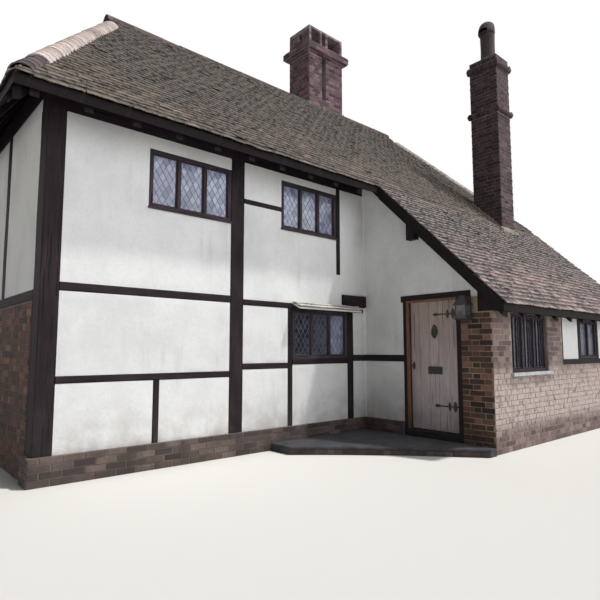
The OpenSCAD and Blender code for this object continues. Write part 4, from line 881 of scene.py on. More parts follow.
def band_bricks(seed, x0, x1, y0, y1, profile):
    """Bricks on the faces of a band round a shaft, from its profile of (out, z): each face of the
    profile is parted into courses of about 65 mm, which go round the four sides."""
    found = []
    for (out0, z0), (out1, z1) in zip(profile, profile[1:]):
        length = math.hypot(out1 - out0, z1 - z0)
        rows = max(1, round(length / 0.065))
        for row in range(rows):
            o0, o1 = [out0 + (out1 - out0) * k / rows for k in (row, row + 1)]
            z = z0 + (z1 - z0) * row / rows
            inner = min(o0, o1)
            for side, (start, u, wide) in enumerate(sides_of(x0, x1, y0, y1)):
                away = np.cross(u, Z)
                upwards = (away * (out1 - out0) + Z * (z1 - z0)) / length
                found.append(brick_field(
                    seed + 4 * row + side, corner(*start, z) + away * o0 - u * inner, u, wide + 2 * inner,
                    length / rows, course=length / rows, upwards=upwards, bond="stretcher"))
    return found


def rounded_bricks(seed, x0, x1, y0, y1, z0, height, out):
    """A course of bricks with a half round face: the half circle is carried along each side."""
    draw = np.random.default_rng(seed)
    angle = np.linspace(-math.pi / 2, math.pi / 2, 9)
    away_by = np.concatenate([[-0.01], (out + 0.005) * np.cos(angle), [-0.01]])
    up_by = height / 2 + (height / 2 + 0.004) * np.concatenate([[-1], np.sin(angle), [1]])
    found = []
    for start, u, wide in sides_of(x0, x1, y0, y1):
        away = np.cross(u, Z)
        wide += 2 * out
        count = int(round(wide / 0.11))
        edge = np.linspace(0, wide, count + 1) - out
        ends = np.stack([edge[:-1] + 0.004, edge[1:] - 0.004], axis=1)
        size = 1 + draw.normal(0, 0.03, count)[:, None, None, None]
        ring = corner(*start, z0) + away * (away_by[:, None] * size) + Z * up_by[:, None]
        points = ring + ends[:, :, None, None] * u
        found.append(loft(points) + (np.repeat(np.clip(draw.normal(0.5, 0.3, count), 0, 1), 22),
                                     np.zeros(22 * count)))
    return found


SX0, SX1, SY0, SY1, STOP = STACK
LEFT_W, RECESS_W, JAMB = 0.400, 0.120, 0.065
CORBEL_Z, CORBEL_H, CORBEL_OUT, CORBEL_EDGE = STOP - 0.660, 0.270, 0.110, 0.065
RECESS_Z = RIDGE_Z + 0.25
FLUE_Z = CORBEL_Z + CORBEL_H + 0.022
CAP_Z = STOP - 0.045
RIGHT_X, STACK_W, STACK_LOW = LEFT_W + RECESS_W, SX1 - SX0, 5.6
SIDE_Y, SIDE_Z = (SY0 + 0.250, SY0 + 0.400), (STOP - 0.250, STOP - 0.090)


def stack_cut(u0, u1, z0, z1=STACK_LOW + 9.0):
    """An opening in a face of the ridge stack, its heights counted from the ground."""
    return u0, u1, z0 - STACK_LOW, z1 - STACK_LOW


ring_cuts = [stack_cut(-1, 3, CORBEL_Z, CORBEL_Z + CORBEL_H), stack_cut(-1, 3, CAP_Z)]
stack_fields = four_sides(71, SX0, SX1, SY0, SY1, STACK_LOW, STOP, (
    [stack_cut(LEFT_W, RIGHT_X, RECESS_Z), *ring_cuts, stack_cut(JAMB, LEFT_W - JAMB, FLUE_Z),
     stack_cut(RIGHT_X + JAMB, STACK_W - JAMB, FLUE_Z)],
    ring_cuts,
    [stack_cut(STACK_W - RIGHT_X, STACK_W - LEFT_W, RECESS_Z), *ring_cuts],
    [*ring_cuts, stack_cut(SY1 - SIDE_Y[1], SY1 - SIDE_Y[0], *SIDE_Z)]))
stack_fields += band_bricks(75, SX0, SX1, SY0, SY1, [
    (0.0, CORBEL_Z), (CORBEL_OUT, CORBEL_Z + CORBEL_EDGE), (CORBEL_OUT, CORBEL_Z + CORBEL_H - CORBEL_EDGE),
    (0.0, CORBEL_Z + CORBEL_H)])
tile_piece("ridge_chimney_bricks", brick_stack, "chimney_brick", *stack_fields)


def box_shells(boxes):
    """Boxes (m, 2, 3) as closed shells of two rings each."""
    low, high = np.asarray(boxes, dtype=float).transpose(1, 0, 2)
    x = np.stack([low[:, 0], high[:, 0], high[:, 0], low[:, 0]], axis=-1)
    y = np.stack([low[:, 1], low[:, 1], high[:, 1], high[:, 1]], axis=-1)
    rings = [np.stack([x, y, np.broadcast_to(z[:, None], x.shape)], axis=-1) for z in (low[:, 2], high[:, 2])]
    return loft(np.stack(rings, axis=1))


def stack_body():
    """The body under the ridge chimney's bricks: two flues side by side with a groove between them, the
    band as a ring carried round its profile, and above it thin walls round two open fronts, closed by
    a slab."""
    x = [SX0, SX0 + LEFT_W, SX0 + LEFT_W + RECESS_W, SX1]
    y_low, y_high = SIDE_Y
    boxes = [[(x[0], SY0, 0), (x[1], SY1, FLUE_Z)], [(x[2], SY0, 0), (x[3], SY1, FLUE_Z)],
             [(x[1], SY0, 0), (x[2], SY1, RECESS_Z)],
             [(x[1], SY0 + 0.150, RECESS_Z), (x[2], SY1 - 0.150, CAP_Z)],
             [(x[0], SY0, CAP_Z), (x[3], SY1, STOP)],
             [(x[0], SY0, FLUE_Z), (x[0] + JAMB, y_low, CAP_Z)],
             [(x[0], y_high, FLUE_Z), (x[0] + JAMB, SY1, CAP_Z)],
             [(x[0], y_low, FLUE_Z), (x[0] + JAMB, y_high, SIDE_Z[0])],
             [(x[0], y_low, SIDE_Z[1]), (x[0] + JAMB, y_high, CAP_Z)],
             [(x[1] - JAMB, SY0, FLUE_Z), (x[1], SY1, CAP_Z)],
             [(x[2], SY0, FLUE_Z), (x[2] + JAMB, SY1, CAP_Z)],
             [(x[3] - JAMB, SY0, FLUE_Z), (x[3], SY1, CAP_Z)],
             [(x[0] + JAMB, SY1 - JAMB, FLUE_Z), (x[1] - JAMB, SY1, CAP_Z)],
             [(x[2] + JAMB, SY1 - JAMB, FLUE_Z), (x[3] - JAMB, SY1, CAP_Z)]]
    out = np.array([0.0, CORBEL_OUT, CORBEL_OUT, 0.0]) - 0.001
    z = CORBEL_Z + np.array([0.0, CORBEL_EDGE, CORBEL_H - CORBEL_EDGE, CORBEL_H])
    ring_x = np.stack([SX0 - out, SX1 + out, SX1 + out, SX0 - out], axis=-1)
    ring_y = np.stack([SY0 - out, SY0 - out, SY1 + out, SY1 + out], axis=-1)
    band = loft(np.stack([ring_x, ring_y, np.broadcast_to(z[:, None], ring_x.shape)], axis=-1)[None])
    body = put_mesh("ridge_chimney_body", *joined([box_shells(boxes), band]), mortar_stack, "chimney_brick",
                    turn=True)
    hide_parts("ridge_chimney")


stack_body()
HX0, HX1, HY0, HY1, HTOP = SHAFT
SHAFT_LOW = 3.0
STRING_Z, STRING_H, CROWN_Z, CROWN_H = HTOP - 1.280, 0.110, HTOP - 0.260, 0.140
shaft_cuts = [(-1, 3, z - SHAFT_LOW, z + h - SHAFT_LOW)
              for z, h in ((STRING_Z, STRING_H), (CROWN_Z, CROWN_H))]
tile_piece("outer_chimney_bricks", brick_shaft, "chimney_brick",
           *four_sides(81, HX0, HX1, HY0, HY1, SHAFT_LOW, HTOP, [shaft_cuts] * 4),
           *rounded_bricks(91, HX0, HX1, HY0, HY1, STRING_Z, STRING_H, 0.055),
           *rounded_bricks(92, HX0, HX1, HY0, HY1, CROWN_Z, CROWN_H, 0.050))


def base_fillets():
    """Mortar run round the foot of each chimney where it leaves the tiles: a three-cornered strip with
    a hollow face along each side of the shaft, following the slope."""
    starts, ends, away = [], [], []
    for (x0, x1, y0, y1, _), height in ((SHAFT, front_z), (STACK, lambda y: front_z(DEPTH - y))):
        low, high = height(y0) + 0.02, height(y1) + 0.02
        for a, b, out in (((x0, y0, low), (x0, y1, high), -X), ((x1, y0, low), (x1, y1, high), X),
                          ((x0, y0, low), (x1, y0, low), -Y), ((x0, y1, high), (x1, y1, high), Y)):
            along = (np.array(b) - a) / np.linalg.norm(np.array(b) - a)
            starts.append(a - 0.05 * along)
            ends.append(b + 0.05 * along)
            away.append(out)
    place = np.linspace(0, 1, 9)[None, :, None, None]
    path = np.array(starts)[:, None, None] * (1 - place) + np.array(ends)[:, None, None] * place
    turn = np.linspace(0, math.pi / 2, 5)
    out_by = np.concatenate([[-0.01, 0.065], 0.065 - 0.059 * np.sin(turn)])
    up_by = np.concatenate([[-0.10, -0.10], 0.075 - 0.075 * np.cos(turn)])
    uneven = 1 + 0.12 * sway(path[..., 0] * 9, path[..., 1] * 9 + path[..., 2] * 7, 5.0)[..., None]
    points = path + (out_by[:, None] * uneven) * np.array(away)[:, None, None] + up_by[:, None] * uneven * Z
    put_mesh("chimney_fillets", *loft(points), mortar_pale, "chimney_brick", turn=True)


base_fillets()


def clay_pot():
    """The pot and its hood: rings of ellipses, whose middle leans to the left and whose radii swell at
    the hood's lip and close over the top, with a wall of 18 mm and an open mouth under the lip."""
    r = POT_R
    rings = np.array([
        (0.000, 0.0, r + 0.012, r + 0.012), (0.060, 0.0, r + 0.010, r + 0.010), (0.100, 0.0, r, r),
        (0.330, 0.0, r - 0.006, r - 0.006), (0.610, 0.0, r, r), (0.650, -0.004, r + 0.004, r + 0.002),
        (0.662, -0.030, r + 0.040, r + 0.014), (0.690, -0.032, r + 0.044, r + 0.018),
        (0.730, -0.027, r + 0.038, r + 0.017), (0.785, -0.020, r + 0.030, r + 0.014),
        (0.850, -0.006, r + 0.014, r + 0.002), (0.900, 0.008, r - 0.010, r - 0.020),
        (0.932, 0.018, r - 0.045, r - 0.055), (0.950, 0.026, 0.45 * r, 0.45 * r), (0.956, 0.028, 0.02, 0.02)])
    angle = np.linspace(0, 2 * math.pi, 41)[:, None]
    z, lean, a, b = rings.T

    def grid(inwards):
        x = (HX0 + HX1) / 2 + lean + (a - np.minimum(inwards, 0.8 * a)) * np.cos(angle)
        y = (HY0 + HY1) / 2 + (b - np.minimum(inwards, 0.8 * b)) * np.sin(angle)
        high = HTOP + z - inwards * (z > 0.92) + 0 * angle
        return np.stack([x, y, high], axis=-1)

    keep = np.ones((40, len(rings) - 1), bool)
    keep[16:24, 6:8] = False
    verts, faces = shell(grid(0.0), grid(POT_WALL), keep)
    pot = put_mesh("clay_pot_and_hood", verts, faces, pot_clay, "pot_clay", turn=True, smooth=True)
    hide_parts("chimney_pot")
    turn = np.linspace(0, 2 * math.pi, 32, endpoint=False)
    wide, high = np.array([0.250, 0.235, r + 0.030, r + 0.010]), np.array([0.0, 0.018, 0.060, 0.075])
    bed = np.stack([(HX0 + HX1) / 2 + wide[:, None] * np.cos(turn),
                    (HY0 + HY1) / 2 + wide[:, None] * np.sin(turn),
                    HTOP + high[:, None] + 0 * turn], axis=-1)
    put_mesh("pot_bed", *loft(bed[None]), mortar_stack, "chimney_brick", turn=True, smooth=True)


clay_pot()


# Timbers

def bars(seed, boxes, wave=0.003, inset=0.001, radius=0.012, segments=9):
    """Hewn members from boxes (m, 2, 3): a rectangle with rounded corners, carried along the longest
    side, whose place and size waver with slow sines. Returns the grain's own coordinates too."""
    boxes = np.asarray(boxes, dtype=float)
    draw = np.random.default_rng(seed)
    m = len(boxes)
    size = boxes[:, 1] - boxes[:, 0]
    axis = np.argmax(size, axis=1)
    order = np.stack([(axis + 1) % 3, (axis + 2) % 3, axis], axis=-1)
    low = np.take_along_axis(boxes[:, 0], order, axis=1)
    high = np.take_along_axis(boxes[:, 1], order, axis=1)
    r = np.minimum(radius, 0.3 * (high - low)[:, :2].min(axis=1))[:, None, None]
    turn = np.array([0, 45, 90]) * math.pi / 180
    angle = np.concatenate([turn + q * math.pi / 2 for q in (2, 3, 0, 1)])
    side_b = np.repeat([-1, 1, 1, -1], 3)
    side_c = np.repeat([-1, -1, 1, 1], 3)
    half = (high - low)[:, :2] / 2 - inset
    along = np.linspace(0, 1, segments + 1)
    phase = draw.uniform(0, 2 * math.pi, (m, 6))
    s = low[:, 2, None] + along * (high - low)[:, 2, None]

    def slow(n, speed):
        return np.sin(speed * s + phase[:, n, None])

    shrink = wave * (0.5 + 0.25 * slow(0, 2.1) + 0.25 * slow(1, 5.3))
    mid_b = (low + high)[:, 0, None] / 2 + 0.4 * wave * slow(2, 1.6)
    mid_c = (low + high)[:, 1, None] / 2 + 0.4 * wave * slow(3, 1.9)
    hb, hc = half[:, 0, None] - shrink, half[:, 1, None] - shrink
    b = mid_b[..., None] + side_b * (hb[..., None] - r) + r * np.cos(angle)
    c = mid_c[..., None] + side_c * (hc[..., None] - r) + r * np.sin(angle)
    a = s[..., None] + np.zeros_like(b)
    local = np.stack([b, c, a], axis=-1)
    points = np.empty_like(local)
    np.put_along_axis(points, np.broadcast_to(order[:, None, None, :], local.shape), local, axis=-1)
    verts, faces = loft(points)
    shift = draw.uniform(-20, 20, (m, 1, 1, 3))
    return verts, faces, (local + shift).reshape(-1, 3)


def timber_piece(name, seed, boxes, material=oak_black, slot="frame_oak", body="root", replaces=(), **shape):
    verts, faces, grain = bars(seed, boxes, **shape)
    piece = put_mesh(name, verts, faces, material, slot, body=body, grain=grain)
    if replaces:
        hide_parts(*replaces)
    return piece


timber_piece("front_wall_posts", 101, node_boxes("front_posts"), replaces=("front_posts",), wave=0.005)
timber_piece("front_wall_rails", 102, node_boxes("front_rails"), replaces=("front_rails",), wave=0.005)
REAR_X = [0, 2.336, OUT_X, (OUT_X + LENGTH - 0.2) / 2, LENGTH - 0.2]
rear_boxes = [[(x, DEPTH - 0.2, PLINTH), (x + 0.2, DEPTH, PLATE_Z)] for x in REAR_X]
rear_boxes += [[(a + 0.2, DEPTH - 0.2, z0), (b, DEPTH, z1)] for a, b in zip(REAR_X, REAR_X[1:])
               for z0, z1 in ((1.990, 2.085), (1.013, 1.093))]
timber_piece("rear_wall_frame", 103, rear_boxes, replaces=("rear_frame",), wave=0.005)
INNER = LENGTH - 0.2
STUD_Y = [DEPTH * i / 3 - 0.08 for i in (1, 2)]
end_boxes = [[(0, 0.25, LOW_PLATE_Z), (0.2, DEPTH - 0.2, BEAM_TOP)],
             [(INNER, -OUT_D + 0.2, LOW_PLATE_Z), (LENGTH, DEPTH - 0.2, BEAM_TOP)],
             [(INNER, 0, BEAM_TOP), (LENGTH, 0.2, PLATE_Z)]]
end_boxes += [[(x, y, BEAM_TOP), (x + 0.2, y + 0.16, END_PLATE_Z)] for x in (0, INNER) for y in STUD_Y]
timber_piece("end_wall_timbers", 104, end_boxes, replaces=("end_wall_beams",), wave=0.005)
timber_piece("door_frame_posts", 105, node_boxes("door_posts"), replaces=("door_posts",), radius=0.006)
timber_piece("door_threshold", 106, node_boxes("threshold"), replaces=("threshold",), radius=0.015)

# Door: five boards on three ledges

leaf = node_boxes("front_door")
leaf_low, leaf_high = leaf[:, 0].min(axis=0), leaf[:, 1].max(axis=0)
LEAF_X, LEAF_T = leaf_low[0], 0.045
board_edges = leaf_low[1] + (leaf_high[1] - leaf_low[1]) * np.array([0, 0.19, 0.41, 0.60, 0.81, 1.0])
boards = [[(LEAF_X, a + 0.001, leaf_low[2]), (LEAF_X + LEAF_T - 0.001, b - 0.001, leaf_high[2])]
          for a, b in zip(board_edges, board_edges[1:])]
timber_piece("door_boards", 107, boards, material=door_wood, slot="door_boards", body="door",
             replaces=("front_door",), wave=0.0006, radius=0.003)
LEDGE_Y = (leaf_low[1] + 0.105, leaf_high[1] - 0.056)
ledges = [[(LEAF_X + LEAF_T - 0.001, LEDGE_Y[0], z - 0.055), (leaf_high[0], LEDGE_Y[1], z + 0.055)]
          for z in (leaf_low[2] + 0.11, (leaf_low[2] + leaf_high[2]) / 2, leaf_high[2] - 0.11)]
timber_piece("door_ledges", 108, ledges, material=door_wood, slot="door_boards", body="door", wave=0.001,
             radius=0.006)

LINING_OUT, LINING_IN = OUT_X - 0.007, LEAF_X - 0.028
timber_piece("door_lining", 109, [
    [(LINING_OUT, DOOR_L - 0.017, 0.205), (LINING_IN, DOOR_L + 0.030, DOOR_TOP + 0.012)],
    [(LINING_OUT, DOOR_R, DOOR_TOP - 0.017), (LINING_IN, DOOR_L - 0.018, DOOR_TOP + 0.014)]],
    material=lining_wood, slot="frame_oak", wave=0.0005, radius=0.004)


# Plaster: uneven skins over the panels

def plaster_skin(name, node, origin, u, seed, proud=0.007, step=0.07, limit=None):
    """A skin on one plane of a panel node: the plane's own corners give the grid lines, cells whose
    middle lies in one of its triangles are kept, and the face swells with a slow unevenness and
    falls back at its borders."""
    out = np.cross(u, Z)
    tris = node_triangles(node) - origin
    uvn = np.stack([tris @ u, tris @ Z, tris @ out], axis=-1)
    flat = (np.abs(uvn[..., 2]) < 0.0006).all(axis=1)
    uv = uvn[flat][..., :2]

    def lines(values):
        marks = np.unique(np.round(values, 4))
        pieces = [np.linspace(a, b, max(2, int(math.ceil((b - a) / step)) + 1))[:-1]
                  for a, b in zip(marks, marks[1:])]
        return np.concatenate(pieces + [marks[-1:]])

    gu, gv = lines(uv[..., 0]), lines(uv[..., 1])
    mu, mv = (gu[:-1] + gu[1:]) / 2, (gv[:-1] + gv[1:]) / 2
    pu, pv = [a.ravel()[:, None] for a in np.meshgrid(mu, mv, indexing="ij")]

    def side(a, b):
        return (b[:, 0] - a[:, 0]) * (pv - a[:, 1]) - (b[:, 1] - a[:, 1]) * (pu - a[:, 0])

    s1, s2, s3 = side(uv[:, 0], uv[:, 1]), side(uv[:, 1], uv[:, 2]), side(uv[:, 2], uv[:, 0])
    inside = ((s1 >= 0) & (s2 >= 0) & (s3 >= 0)) | ((s1 <= 0) & (s2 <= 0) & (s3 <= 0))
    keep = inside.any(axis=1).reshape(len(mu), len(mv))
    pad = np.pad(keep, 1)
    full = pad[:-1, :-1] & pad[1:, :-1] & pad[:-1, 1:] & pad[1:, 1:]
    uu, vv = np.meshgrid(gu, gv, indexing="ij")
    if limit is not None:
        vv = np.minimum(vv, limit(uu))
    swell = np.where(full, proud * (0.62 + 0.38 * sway(uu * 1.3, vv * 1.3, seed)), 0.0015)
    plane = origin + uu[..., None] * u + vv[..., None] * Z
    verts, faces = shell(plane + swell[..., None] * out, plane - 0.002 * out, keep)
    return put_mesh(name, verts, faces, plaster, "limewash", smooth=True)


plaster_skin("front_plaster", "front_panels", corner(0, PANEL_IN), X, 1.0)
plaster_skin("rear_plaster", "rear_panels", corner(LENGTH, DEPTH - PANEL_IN), -X, 2.0)
plaster_skin("left_plaster", "end_wall_panels", corner(PANEL_IN, DEPTH), -Y, 3.0)
plaster_skin("right_plaster", "end_wall_panels", corner(LENGTH - PANEL_IN, -OUT_D), Y, 4.0,
             limit=lambda d: np.where(d < OUT_D, front_z(d - OUT_D) - UNDER, 9.0))
plaster_skin("door_side_plaster", "outshut_panels", corner(OUT_X + PANEL_IN, 0), -Y, 5.0,
             limit=lambda d: front_z(-d) - UNDER)
plaster_skin("over_door_plaster", "over_door_panel", corner(OUT_X + PANEL_IN, 0), -Y, 6.0,
             limit=lambda d: front_z(-d) - UNDER)
plaster_skin("outshut_plaster", "outshut_panels", corner(0, -OUT_D + PANEL_IN), X, 7.0)


def corner_cove():
    """Plaster run into the inner corner between the front wall and the door wall: a hollow quarter
    round of 18 mm, carried up between the timbers that meet there."""
    turn = np.linspace(math.pi / 2, 0, 6)
    middle = np.array([OUT_X - 0.026, -0.026])
    hollow = middle + 0.018 * np.stack([np.cos(turn), np.sin(turn)], axis=-1)
    ring = np.concatenate([[(OUT_X + 0.01, 0.01), (OUT_X - 0.026, 0.01)], hollow, [(OUT_X + 0.01, -0.026)]])
    spans = np.array([(PLINTH + 0.002, 1.188), (1.292, 2.058), (2.252, front_z(0) - UNDER - 0.12)])
    points = np.concatenate([np.broadcast_to(ring, (3, 2, 9, 2)),
                             np.broadcast_to(spans[:, :, None, None], (3, 2, 9, 1))], axis=-1)
    put_mesh("corner_plaster", *loft(points), plaster, "limewash", turn=True, smooth=True)


corner_cove()


# Windows: leaded glass

def strips(starts, ends, facing, width, thick):
    """Closed flat strips between pairs of points, lying on a plane that faces one way."""
    ahead = ends - starts
    ahead = ahead / np.linalg.norm(ahead, axis=1)[:, None]
    aside = np.cross(facing, ahead)
    ring = np.array([(-0.5, -0.5), (0.5, -0.5), (0.36, 0.5), (-0.36, 0.5)])
    spread = ring[:, 0, None] * width * aside[:, None, :] + ring[:, 1, None] * thick * facing
    rings = np.stack([starts[:, None, :] + spread, ends[:, None, :] + spread], axis=1)
    return loft(rings)


def lattice(low, high, cell_w, cell_h):
    """Ends (m, 2, 2) of the two sets of slanting lines of a diamond pattern, cut to a rectangle."""
    wide, tall = high - low
    found = []
    reach = int(wide / cell_w + tall / cell_h) + 2
    for lean in (1, -1):
        k = np.arange(-reach, reach + 1)
        x0 = (k + 0.5) * cell_w
        v_at = np.array([0.0, tall])
        u = x0[:, None] + lean * v_at * cell_w / cell_h
        du = u[:, 1] - u[:, 0]
        a = np.clip((0 - u[:, 0]) / du, 0, 1)
        b = np.clip((wide - u[:, 0]) / du, 0, 1)
        t0, t1 = np.minimum(a, b), np.maximum(a, b)
        ok = (t1 - t0) * tall > 0.015
        ends = np.stack([np.stack([u[:, 0] + du * t, tall * t], axis=-1) for t in (t0, t1)], axis=1)
        found.append(ends[ok] + low)
    return np.concatenate(found)


def day_of(low, high):
    """How bright the light of a window is: the low windows look into dark rooms."""
    x = (low[0] + high[0]) / 2
    if low[1] < -2.0:
        return 0.10 if x < 6.9 else 0.45
    if low[1] < 1.0 and low[2] < 2.0:
        return 0.85 if x > 4.15 else 0.12 if x < 3.85 else 0.22
    return 1.0


def window_runs(panes):
    """The panes of each window as an array of their own, from left to right."""
    order = np.lexsort((panes[:, 0, 0], np.round(panes[:, 0, 2], 3), np.round(panes[:, 0, 1], 3)))
    rows = panes[order]
    near = ((np.abs(rows[1:, 0, 1:] - rows[:-1, 0, 1:]).max(axis=1) < 0.01)
            & (rows[1:, 0, 0] - rows[:-1, 1, 0] < 0.2))
    return np.split(rows, np.flatnonzero(~near) + 1)


STILE, SASH = 0.050, 0.012
PANE_GROW = np.array([0.023, 0.0, 0.023])


def frame_members():
    """Boxes of every window frame: rails and outer stiles of 50 mm, mullions of 45 mm between the
    lights, a casement of 12 mm bars round each light and a drip under the upper windows in front."""
    frames, drips = [], []
    for run in window_runs(node_boxes("window_glass")):
        x0, z0 = run[0, 0, 0] - 0.035, run[0, 0, 2] - 0.035
        x1, z1 = run[-1, 1, 0] + 0.035, run[0, 1, 2] + 0.035
        y = (run[0, 0, 1] + run[0, 1, 1]) / 2
        y0, y1 = (y - 0.038, y + 0.072) if y < DEPTH / 2 else (y - 0.072, y + 0.038)
        out0, out1 = x0 - STILE, x1 + STILE
        frames += [[(out0, y0, z0 - STILE), (out1, y1, z0)], [(out0, y0, z1), (out1, y1, z1 + STILE)],
                   [(out0, y0, z0), (x0, y1, z1)], [(x1, y0, z0), (out1, y1, z1)]]
        frames += [[(a + 0.035, y0, z0), (a + 0.080, y1, z1)] for a in run[:-1, 1, 0]]
        for low, high in run:
            (a0, _, c0), (a1, _, c1) = low - PANE_GROW, high + PANE_GROW
            s0, s1 = y - 0.020, y + 0.020
            frames += [[(a0 - SASH, s0, c0 - SASH), (a0, s1, c1 + SASH)],
                       [(a1, s0, c0 - SASH), (a1 + SASH, s1, c1 + SASH)],
                       [(a0, s0, c0 - SASH), (a1, s1, c0)], [(a0, s0, c1), (a1, s1, c1 + SASH)]]
        if z0 > 2.5 and y < DEPTH / 2:
            drips.append([(x0 - 0.058, y0 - 0.034, z0 - 0.066), (x1 + 0.058, y0 + 0.01, z0 - 0.040)])
    return frames, drips


frame_boxes, drip_boxes = frame_members()
timber_piece("window_frame_members", 113, frame_boxes, material=window_wood, slot="window_wood",
             replaces=("window_frames",), wave=0.0006, radius=0.004, inset=0.0, segments=3)
timber_piece("window_drips", 114, drip_boxes, material=window_wood, slot="window_wood",
             wave=0.001, radius=0.006)
glass_parts, lead_parts, bar_parts, quarries, days = [], [], [], [], []
CELL_W, CELL_H = 0.086, 0.139
for number, (low, high) in enumerate(node_boxes("window_glass")):
    low, high = low - PANE_GROW, high + PANE_GROW
    y = (low[1] + high[1]) / 2
    gx = np.linspace(low[0], high[0], 7)
    gz = np.linspace(low[2], high[2], 11)
    xx, zz = np.meshgrid(gx, gz, indexing="ij")
    bow = 0.0010 * sway(xx * 6, zz * 6, number)
    front = np.stack([xx, y - 0.003 + bow, zz], axis=-1)
    back = np.stack([xx, y + 0.003 + bow, zz], axis=-1)
    verts, faces = shell(front, back, np.ones((6, 10), bool))
    glass_parts.append((verts, faces))
    p = (verts[:, 0] - low[0]) / CELL_W
    q = (verts[:, 2] - low[2]) / CELL_H
    quarries.append(np.stack([p - q + 0.5 + 40, p + q + 0.5, np.full(len(p), 3.0 * number + 0.5)], axis=-1))
    days.append(np.full(len(verts), day_of(low, high)))
    a0, a1, b0, b1 = low[0] + 0.004, high[0] - 0.004, low[2] + 0.004, high[2] - 0.004
    lines = np.array([[(a0, b0), (a1, b0)], [(a1, b0), (a1, b1)], [(a1, b1), (a0, b1)], [(a0, b1), (a0, b0)]])
    if low[1] < -2.0 and high[0] < 6.9:
        upright = np.array([[(a, low[2]), (a, high[2])] for a in np.linspace(low[0], high[0], 4)[1:-1]])
        flat = np.stack([upright[..., 0], np.full(upright.shape[:2], y - 0.009), upright[..., 1]], axis=-1)
        bar_parts.append(strips(flat[:, 0], flat[:, 1], -Y, 0.017, 0.014))
    else:
        lines = np.concatenate([lines, lattice(low[[0, 2]], high[[0, 2]], CELL_W, CELL_H)])
    for lift in (-1, 1):
        flat = np.stack([lines[..., 0], np.full(lines.shape[:2], y + lift * 0.0035), lines[..., 1]], axis=-1)
        lead_parts.append(strips(flat[:, 0], flat[:, 1], lift * Y, 0.007, 0.005))
glazing = put_mesh("window_panes", *joined(glass_parts), glass_leaded, "window_glass", smooth=True,
                   quarry=np.concatenate(quarries), day=np.concatenate(days))
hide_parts("window_glass")
put_mesh("window_leading", *joined(lead_parts), lead_grey, "window_glass")
bar_verts, bar_faces = joined(bar_parts)
put_mesh("window_bars", bar_verts, bar_faces, window_wood, "window_wood", grain=bar_verts)


# Hood, step and lantern

HOOD_X0, HOOD_X1, HOOD_TOP = 3.426, 4.577 + 0.140 + 0.040, 2.0598
hood_up = np.array([0, 0.150, 0.070]) / math.hypot(0.150, 0.070)
hood_verts, hood_faces, hood_tone, hood_rim = tile_field(
    111, np.array([HOOD_X0, -0.150, HOOD_TOP - 0.070]), X, hood_up, HOOD_X1 - HOOD_X0, 2, 0.084,
    lambda t: 0 * t, tile_w=0.148, length=0.110)
hood_verts[:, 1] = np.minimum(hood_verts[:, 1], -0.001)
put_mesh("hood_shingles", hood_verts, hood_faces, hood_wood, "frame_oak",
         grain=hood_verts[:, [0, 2, 1]])


def step_curve(t):
    """The front edge of the step: a bend between its two ends, as in the part's source."""
    near = np.array([OUT_X - 0.187, -OUT_D - 0.024])
    far = np.array([OUT_X - 1.987, -0.430])
    bend = (near + far) / 2 + np.array([0, 0.187])
    t = t[:, None]
    return (1 - t) ** 2 * near + 2 * t * (1 - t) * bend + t ** 2 * far


def step_edge():
    """Bricks under the step's edge and a rounded slab edge over them, both carried along the bend."""
    draw = np.random.default_rng(121)
    count = 24
    place = np.linspace(0, 1, count + 1)
    gap = 0.0022
    a, b = step_curve(place[:-1] + gap), step_curve(place[1:] - gap)
    run = (b - a) / np.linalg.norm(b - a, axis=1)[:, None]
    out = np.stack([run[:, 1], -run[:, 0]], axis=-1)
    out *= np.sign((out @ np.array([-1.0, -1.0])))[:, None]
    z = np.array([0.004, 0.064])
    rings = []
    for depth, edge in ((-0.004, 0.0), (0.003, 0.0), (0.006, 0.003)):
        p0, p1 = a + out * depth + run * edge, b + out * depth - run * edge
        ring = [np.concatenate([p, np.full((count, 1), h)], axis=1) for p, h in (
            (p1, z[0] + edge), (p0, z[0] + edge), (p0, z[1] - edge), (p1, z[1] - edge))]
        rings.append(np.stack(ring, axis=1))
    bricks = loft(np.stack(rings, axis=1))
    tone = np.repeat(np.clip(draw.normal(0.4, 0.25, count), 0, 1), 12)
    put_mesh("step_riser_bricks", *bricks, brick_plinth, "stone", turn=True, tone=tone,
             rim=np.tile(np.repeat([1.0, 1.0, 0.0], 4), count))
    path = step_curve(np.linspace(0, 1, 41))
    ahead = np.gradient(path, axis=0)
    side = np.stack([ahead[:, 1], -ahead[:, 0]], axis=-1) / np.linalg.norm(ahead, axis=1)[:, None]
    side *= np.sign(side @ np.array([-1.0, -1.0]))[:, None]
    turn = np.linspace(-math.pi / 2, math.pi / 2, 7)
    away = np.concatenate([[-0.25], 0.004 + 0.014 * np.cos(turn), [-0.25]])
    high = np.concatenate([[0.070], 0.087 + 0.017 * np.sin(turn), [0.104]])
    wobble = 1 + 0.25 * sway(np.arange(41) * 0.7, 0.0, 3.0)[:, None]
    reach = (away * np.where(away > 0, wobble, 1.0))[..., None]
    ring = np.concatenate([path[:, None, :] + side[:, None, :] * reach,
                           np.broadcast_to(high[None, :, None], (41, 9, 1))], axis=-1)
    put_mesh("step_slab_edge", *loft(ring[None]), stone_grey, "stone", turn=True, smooth=True)


step_edge()


